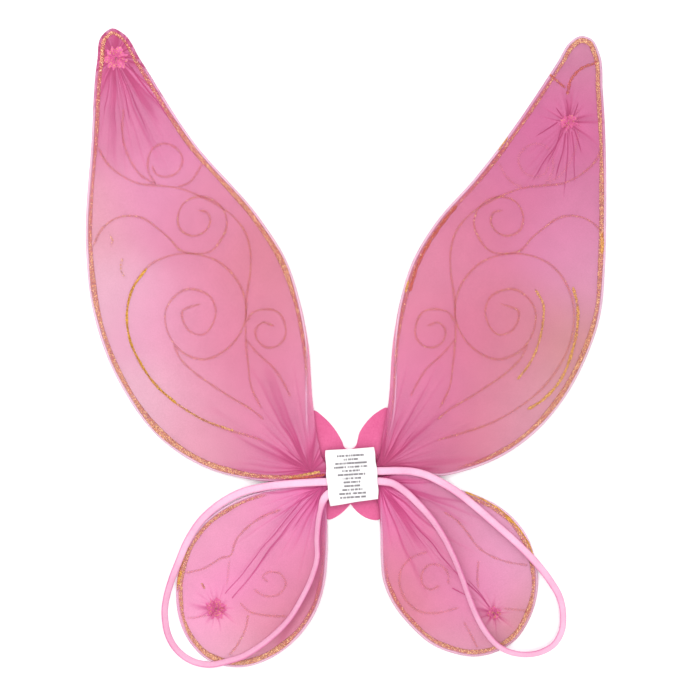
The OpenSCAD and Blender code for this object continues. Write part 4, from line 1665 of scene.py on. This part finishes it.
def lower_right() -> Wing:
    """The round wing on the right.

    Returns:
        The wing.
    """
    toe = Folds.fan((129, -123), (10, 40, 70, 95, 118, 135, 150, 170, 195, 225, 250, 280, 310, 340),
                    (10, 12, 13, 18, 24, 34, 20, 14, 12, 11, 12, 13, 11, 10), 4)
    root = Folds.fan((27, -7), (282, 291, 299, 306, 312, 318, 325, 333, 342),
                     (60, 90, 80, 110, 90, 70, 80, 60, 70), 2)
    pull = Folds(mm([(36, -16), (63, -54), (86, -78), (36, -22)]),
                 mm([(70, -62), (105, -100), (124, -119), (56, -52)]))
    return Wing(
        "lower_right", 1, LOWER_RIGHT, LOWER_RIGHT, mm([(61, -7), (26.5, -49)]), (129, -123), (27, -7),
        ToeKnot(6.4 * MM, 2.2 * MM, 7), toe.joined(root, pull), LOWER_RIGHT_SWIRLS,
        ((44, -24, 232, 123, 175), (54, -50, 231, 118, 166), (90, -22, 228, 140, 178),
         (117, -40, 233, 153, 190), (44, -86, 227, 128, 157), (72, -76, 232, 129, 175),
         (99, -67, 228, 132, 171), (136, -58, 233, 160, 194), (153, -94, 236, 165, 197),
         (50, -118, 220, 124, 142), (81, -112, 232, 134, 173), (108, -112, 229, 139, 179),
         (133, -94, 238, 152, 193), (160, -116, 214, 152, 156), (90, -148, 232, 156, 180),
         (126, -150, 217, 150, 172), (152, -138, 206, 134, 136)),
        ((0, 0.0, 3.0), (0.10, 0.0, 3.0), (0.2, 0.3, 3.4), (0.3, 0.6, 4.2), (0.42, 0.7, 4.4),
         (0.5, 0.7, 4.4), (0.6, 0.6, 4.2), (0.75, 0.5, 4.0), (0.84, 0.4, 3.4), (0.9, 0.0, 3.0),
         (1, 0.0, 3.0)),
        # Dark lines: crease lines, and the two wide last ones are painted shadow beside the right elastic.
        (((30.5, -8), (61, -49), 1.2, 1), ((42, -24), (103, -95), 1.2, 1), ((127, -120), (84, -74), 1.2, 1),
         ((35, -12), (53, -45), 1.0, 0.9), ((44, -30), (73, -72), 1.0, 0.8),
         ((92, -101), (112, -113), 1.0, 1), ((124, -117), (103, -89), 0.9, 1),
         ((30, -1), (70, -24), 4.2, 0.9), ((60, -14), (110, -46), 3.2, 0.4)), tint_spread=0.020,
        toe_reach=24.0, toe_count=3.4, rows=170, top_columns=240)


# ---------------------------------------------------------------- the centre


@dataclass
class Elastic:
    """One shoulder loop: a flat band, a little twisted where it turns."""

    name: str
    route: Array
    wing: str
    twists: tuple
    bend_points: tuple
    width: float = 7.0 * MM
    thickness: float = 1.5 * MM
    step: float = 3.0 * MM
    held: float = 17.0 * MM
    freed_over: float = 16.0 * MM
    sides: int = 28

    def build(self, finish: Material) -> Piece:
        """Formula: a flat oval carried along the route and turned about it by an angle that runs
        smoothly between the twists given; where it is turned, the band is lifted so that its
        lower edge clears what it lies on, and it is thinner where it is held under the label.

        Args:
            finish: The elastic's material.

        Returns:
            The piece.
        """
        path = smooth_curve(self.route, self.step)
        share = np.linspace(0, 1, len(path))
        turn = smooth_curve(np.array(self.twists, float) * (1, 0.01), 0.01)
        turn = np.radians(np.interp(share, turn[:, 0], turn[:, 1]) * 100)
        from_end = np.minimum(share, 1 - share) * run_of(path)[-1]
        free = smooth_step((from_end - self.held) / self.freed_over)
        turn = turn * free
        path[:, 2] += 0.45 * self.width * np.abs(np.sin(turn)) + 0.35 * MM * free
        angle = np.arange(self.sides) / self.sides * math.tau
        flat = np.sign(np.cos(angle)) * np.abs(np.cos(angle)) ** 0.8
        crown = np.sign(np.sin(angle)) * np.abs(np.sin(angle)) ** 0.9
        thick = self.thickness * (0.6 + 0.4 * free)
        ones = np.ones((len(path), len(angle)))
        section = np.stack([ones * flat * self.width / 2, crown[None] * thick[:, None] / 2], axis=-1)
        shape = Shape.tube(sweep(path, section, turn), along=ones * run_of(path)[:, None],
                           across=ones * flat[None],
                           turned=ones * np.abs(np.sin(turn))[:, None])
        band = shape.to_object(self.name)
        band.data.materials.append(finish)
        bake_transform(band)
        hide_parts(self.name.replace("_shoulder_elastic", "_strap"))
        return band


@dataclass(frozen=True)
class Label:
    """The soft label over the gathered middle, raised where the elastics go under it."""

    corners: tuple = ((-22.5, 23), (21, 26), (25, -20), (-18.5, -26.5))
    base: float = 7.5 * MM
    thickness: float = 0.28 * MM
    steps: int = 60
    left_bands: tuple = (-4.5, -13.5)
    right_bands: tuple = (4.6, -4.3)
    bell: float = 4.4

    def build(self) -> Piece:
        """Makes the label.

        Formula: a four-cornered sheet of two parameters, u across and v down; its sides swell in
        the middle; its height is a low wave plus bells along the elastics under it, and its
        corners fall a little.

        Returns:
            The piece.
        """
        u, v = np.meshgrid(np.linspace(0, 1, self.steps), np.linspace(0, 1, self.steps))
        a, b, c, d = mm(list(self.corners))
        flat = ((1 - u) * (1 - v))[..., None] * a + (u * (1 - v))[..., None] * b \
            + (u * v)[..., None] * c + ((1 - u) * v)[..., None] * d
        swell = 0.9 * MM * np.sin(math.pi * v) * (2 * u - 1)
        flat[..., 0] += swell + 0.3 * MM * np.sin(v * 17) * (2 * u - 1) ** 3
        flat[..., 1] += 0.4 * MM * np.sin(u * 6 + 1) * (1 - 2 * v) ** 3
        left, right = 1 - smooth_step(u * 1.9), smooth_step(u * 1.9 - 0.9)
        y = flat[..., 1] / MM
        hump = sum(side * np.exp(-(((y - band) / self.bell) ** 2))
                   for side, bands in ((left, self.left_bands), (right, self.right_bands)) for band in bands)
        fall = (2 * u - 1) ** 4 * (2 * v - 1) ** 4
        wave = 0.12 * np.sin(u * 7 + v * 3) * np.sin(v * 5 + 1)
        hump = np.minimum(hump, 1)
        height = self.base + MM * (0.5 * hump + wave - 0.9 * fall - 0.25 * (1 - hump))
        top = np.concatenate([flat, (height + self.thickness)[..., None]], axis=-1)
        under = np.concatenate([flat, height[..., None]], axis=-1)[:, ::-1]
        label = Shape.tube(np.concatenate([top, under], axis=1)).to_object("care_label")
        label.data.materials.append(LabelFinish().build())
        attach(label, "centre")
        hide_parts("label")
        return label


@dataclass(frozen=True)
class Butterfly:
    """The foam butterfly behind the gathers."""

    thickness: float = 2.0 * MM
    edge: float = 0.8 * MM
    edge_rings: int = 9
    face_rings: int = 26

    def build(self) -> Piece:
        """Makes the pad.

        Formula: the outline shrunk by rings from the middle to the rim on the upper face, then a
        half circle round the edge, and the same rings back on the lower face.

        Returns:
            The piece.
        """
        lobes = [smooth_curve(BUTTERFLY[start:end + 1], 0.8 * MM)[:-1]
                 for start, end in zip(BUTTERFLY_CORNERS[:-1], BUTTERFLY_CORNERS[1:])]
        outline = np.vstack(lobes)
        closed = np.vstack([outline[-1:], outline, outline[:1]])
        inward = -left_of(closed)[1:-1]
        half = self.thickness / 2
        turn = np.linspace(math.pi / 2, -math.pi / 2, self.edge_rings)[:, None, None]
        rim = outline[None] + inward[None] * self.edge * (1 - np.cos(turn))
        rise = np.sin(turn[..., 0])
        rim_z = half + (half - self.edge) * np.sign(rise) * (np.abs(rise) > 0.01) + self.edge * rise
        inner = outline + inward * self.edge
        shares = np.linspace(0.02, 0.985, self.face_rings)[:, None, None]
        face = inner[None] * shares
        lumps = np.sin(face[..., 0] * 300) * np.sin(face[..., 1] * 260 + 1)
        swell = 0.15 * MM * lumps * (1 - shares[..., 0] ** 4)
        top = np.concatenate([face, (self.thickness - np.abs(swell))[..., None]], axis=-1)
        under = np.concatenate([face, np.zeros(face.shape[:2] + (1,))], axis=-1)[::-1]
        side = np.concatenate([rim, np.broadcast_to(rim_z[..., None], rim.shape[:2] + (1,))], axis=-1)
        pad = Shape.tube(np.concatenate([top, side, under])).to_object("foam_butterfly")
        foam = FabricFinish("foam_pink", (206, 92, 138), (188, 68, 118), pitch=0.0011, cloud=0.02,
                            relief=0.0003,
                            roughness=0.8)
        pad.data.materials.append(foam.build())
        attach(pad, "centre")
        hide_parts("outer_pad")
        return pad


@dataclass(frozen=True)
class Bindings:
    """The glue, tape and threads of the CAD part, which keep their shapes."""

    def build(self) -> list[Piece]:
        """Gives each of them its finish.

        Returns:
            The CAD nodes.
        """
        glue = GlueFinish().build()
        tape = FabricFinish("tape_cloth", (232, 226, 220), (206, 198, 190), pitch=0.0007,
                            relief=0.0002).build()
        thread = FabricFinish("thread_white", (246, 238, 242), (220, 196, 210), pitch=0.0004,
                              relief=0.0002).build()
        dressed = {"outer_glue": glue, "inner_glue": glue, "centre_binding": tape}
        dressed |= {f"{end}_{side}_root_tie": thread for end in ("upper", "lower") for side
                    in ("left", "right")}
        for name, material in dressed.items():
            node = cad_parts[name]
            node.data.materials.clear()
            node.data.materials.append(material)
        return [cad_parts[name] for name in dressed]


@dataclass(frozen=True)
class Studio:
    """The table, the light and the camera, which looks straight down."""

    height: float = 2.5
    lens: float = 142.9
    middle: tuple[float, float] = (-0.00045, 0.1134)
    sensor: float = 36.0
    table: float = 6.0
    sky: tuple = ((1.0, 0.99, 1.0, 1.0), 1.45)
    lamps: tuple = (("key", (-0.7, 1.0, 1.5), 0.9, 22.0), ("fill", (0.9, -0.7, 1.6), 1.2, 7.0))

    def build(self) -> None:
        """Makes the camera, the table, the room's light and the lamps."""
        scene = bpy.context.scene
        camera = bpy.data.cameras.new("camera")
        camera.lens = self.lens
        camera.sensor_width = self.sensor
        camera.clip_end = 20.0
        eye = bpy.data.objects.new("camera", camera)
        eye.location = (*self.middle, self.height)
        scene.collection.objects.link(eye)
        scene.camera = eye
        bpy.ops.mesh.primitive_plane_add(size=self.table, location=(0.0, 0.0, -0.0001))
        floor = bpy.context.object
        floor.name = "table"
        material, nodes, shader = new_material("table_white")
        cloud = nodes.mottled(nodes.place(), 0.4)
        white = nodes.mix(cloud, (0.93, 0.93, 0.93, 1.0), (0.91, 0.91, 0.91, 1.0))
        nodes.put(shader.inputs["Base Color"], white)
        shader.inputs["Roughness"].default_value = 0.9
        floor.data.materials.append(material)
        world = bpy.data.worlds.new("room")
        world.use_nodes = True
        for socket, value in zip(world.node_tree.nodes["Background"].inputs, self.sky):
            socket.default_value = value
        scene.world = world
        for name, place, size, power in self.lamps:
            light = bpy.data.lights.new(name, "AREA")
            light.size = size
            light.energy = power
            lamp = bpy.data.objects.new(name, light)
            lamp.location = place
            lamp.rotation_euler = self.aim(place)
            scene.collection.objects.link(lamp)
        scene.view_settings.view_transform = "Standard"

    def aim(self, place: tuple[float, float, float]) -> tuple[float, float, float]:
        """Angles that point a lamp at the middle of the object."""
        x, y, z = self.middle[0] - place[0], self.middle[1] - place[1], -place[2]
        return (math.atan2(math.hypot(x, y), -z), 0.0, math.atan2(x, -y))


def report(pieces: list[Piece]) -> None:
    """Logs each piece and its number of faces."""
    for piece in pieces:
        LOG.info("%s: %d faces", piece.name, len(piece.data.polygons))


def main() -> None:
    """Builds everything in order."""
    logging.basicConfig(level=logging.INFO, format="%(message)s")
    Studio().build()
    elastic = ElasticFinish().build()
    wings = [upper_left(), upper_right(), lower_left(), lower_right()]
    straps = (("left", LEFT_ROUTE, wings[2], LEFT_TWISTS), ("right", RIGHT_ROUTE, wings[3], RIGHT_TWISTS))
    for side, route, wing, twists in straps:
        band = Elastic(f"{side}_shoulder_elastic", route, wing.name, twists, wing.bend_points())
        report([band.build(elastic)])
    finishes = WingFinishes(GlitterFinish().build(), WireFinish().build())
    for wing in wings:
        report(wing.build(finishes))
    report([Butterfly().build(), Label().build(), *Bindings().build()])


if __name__ == "__main__":
    main()
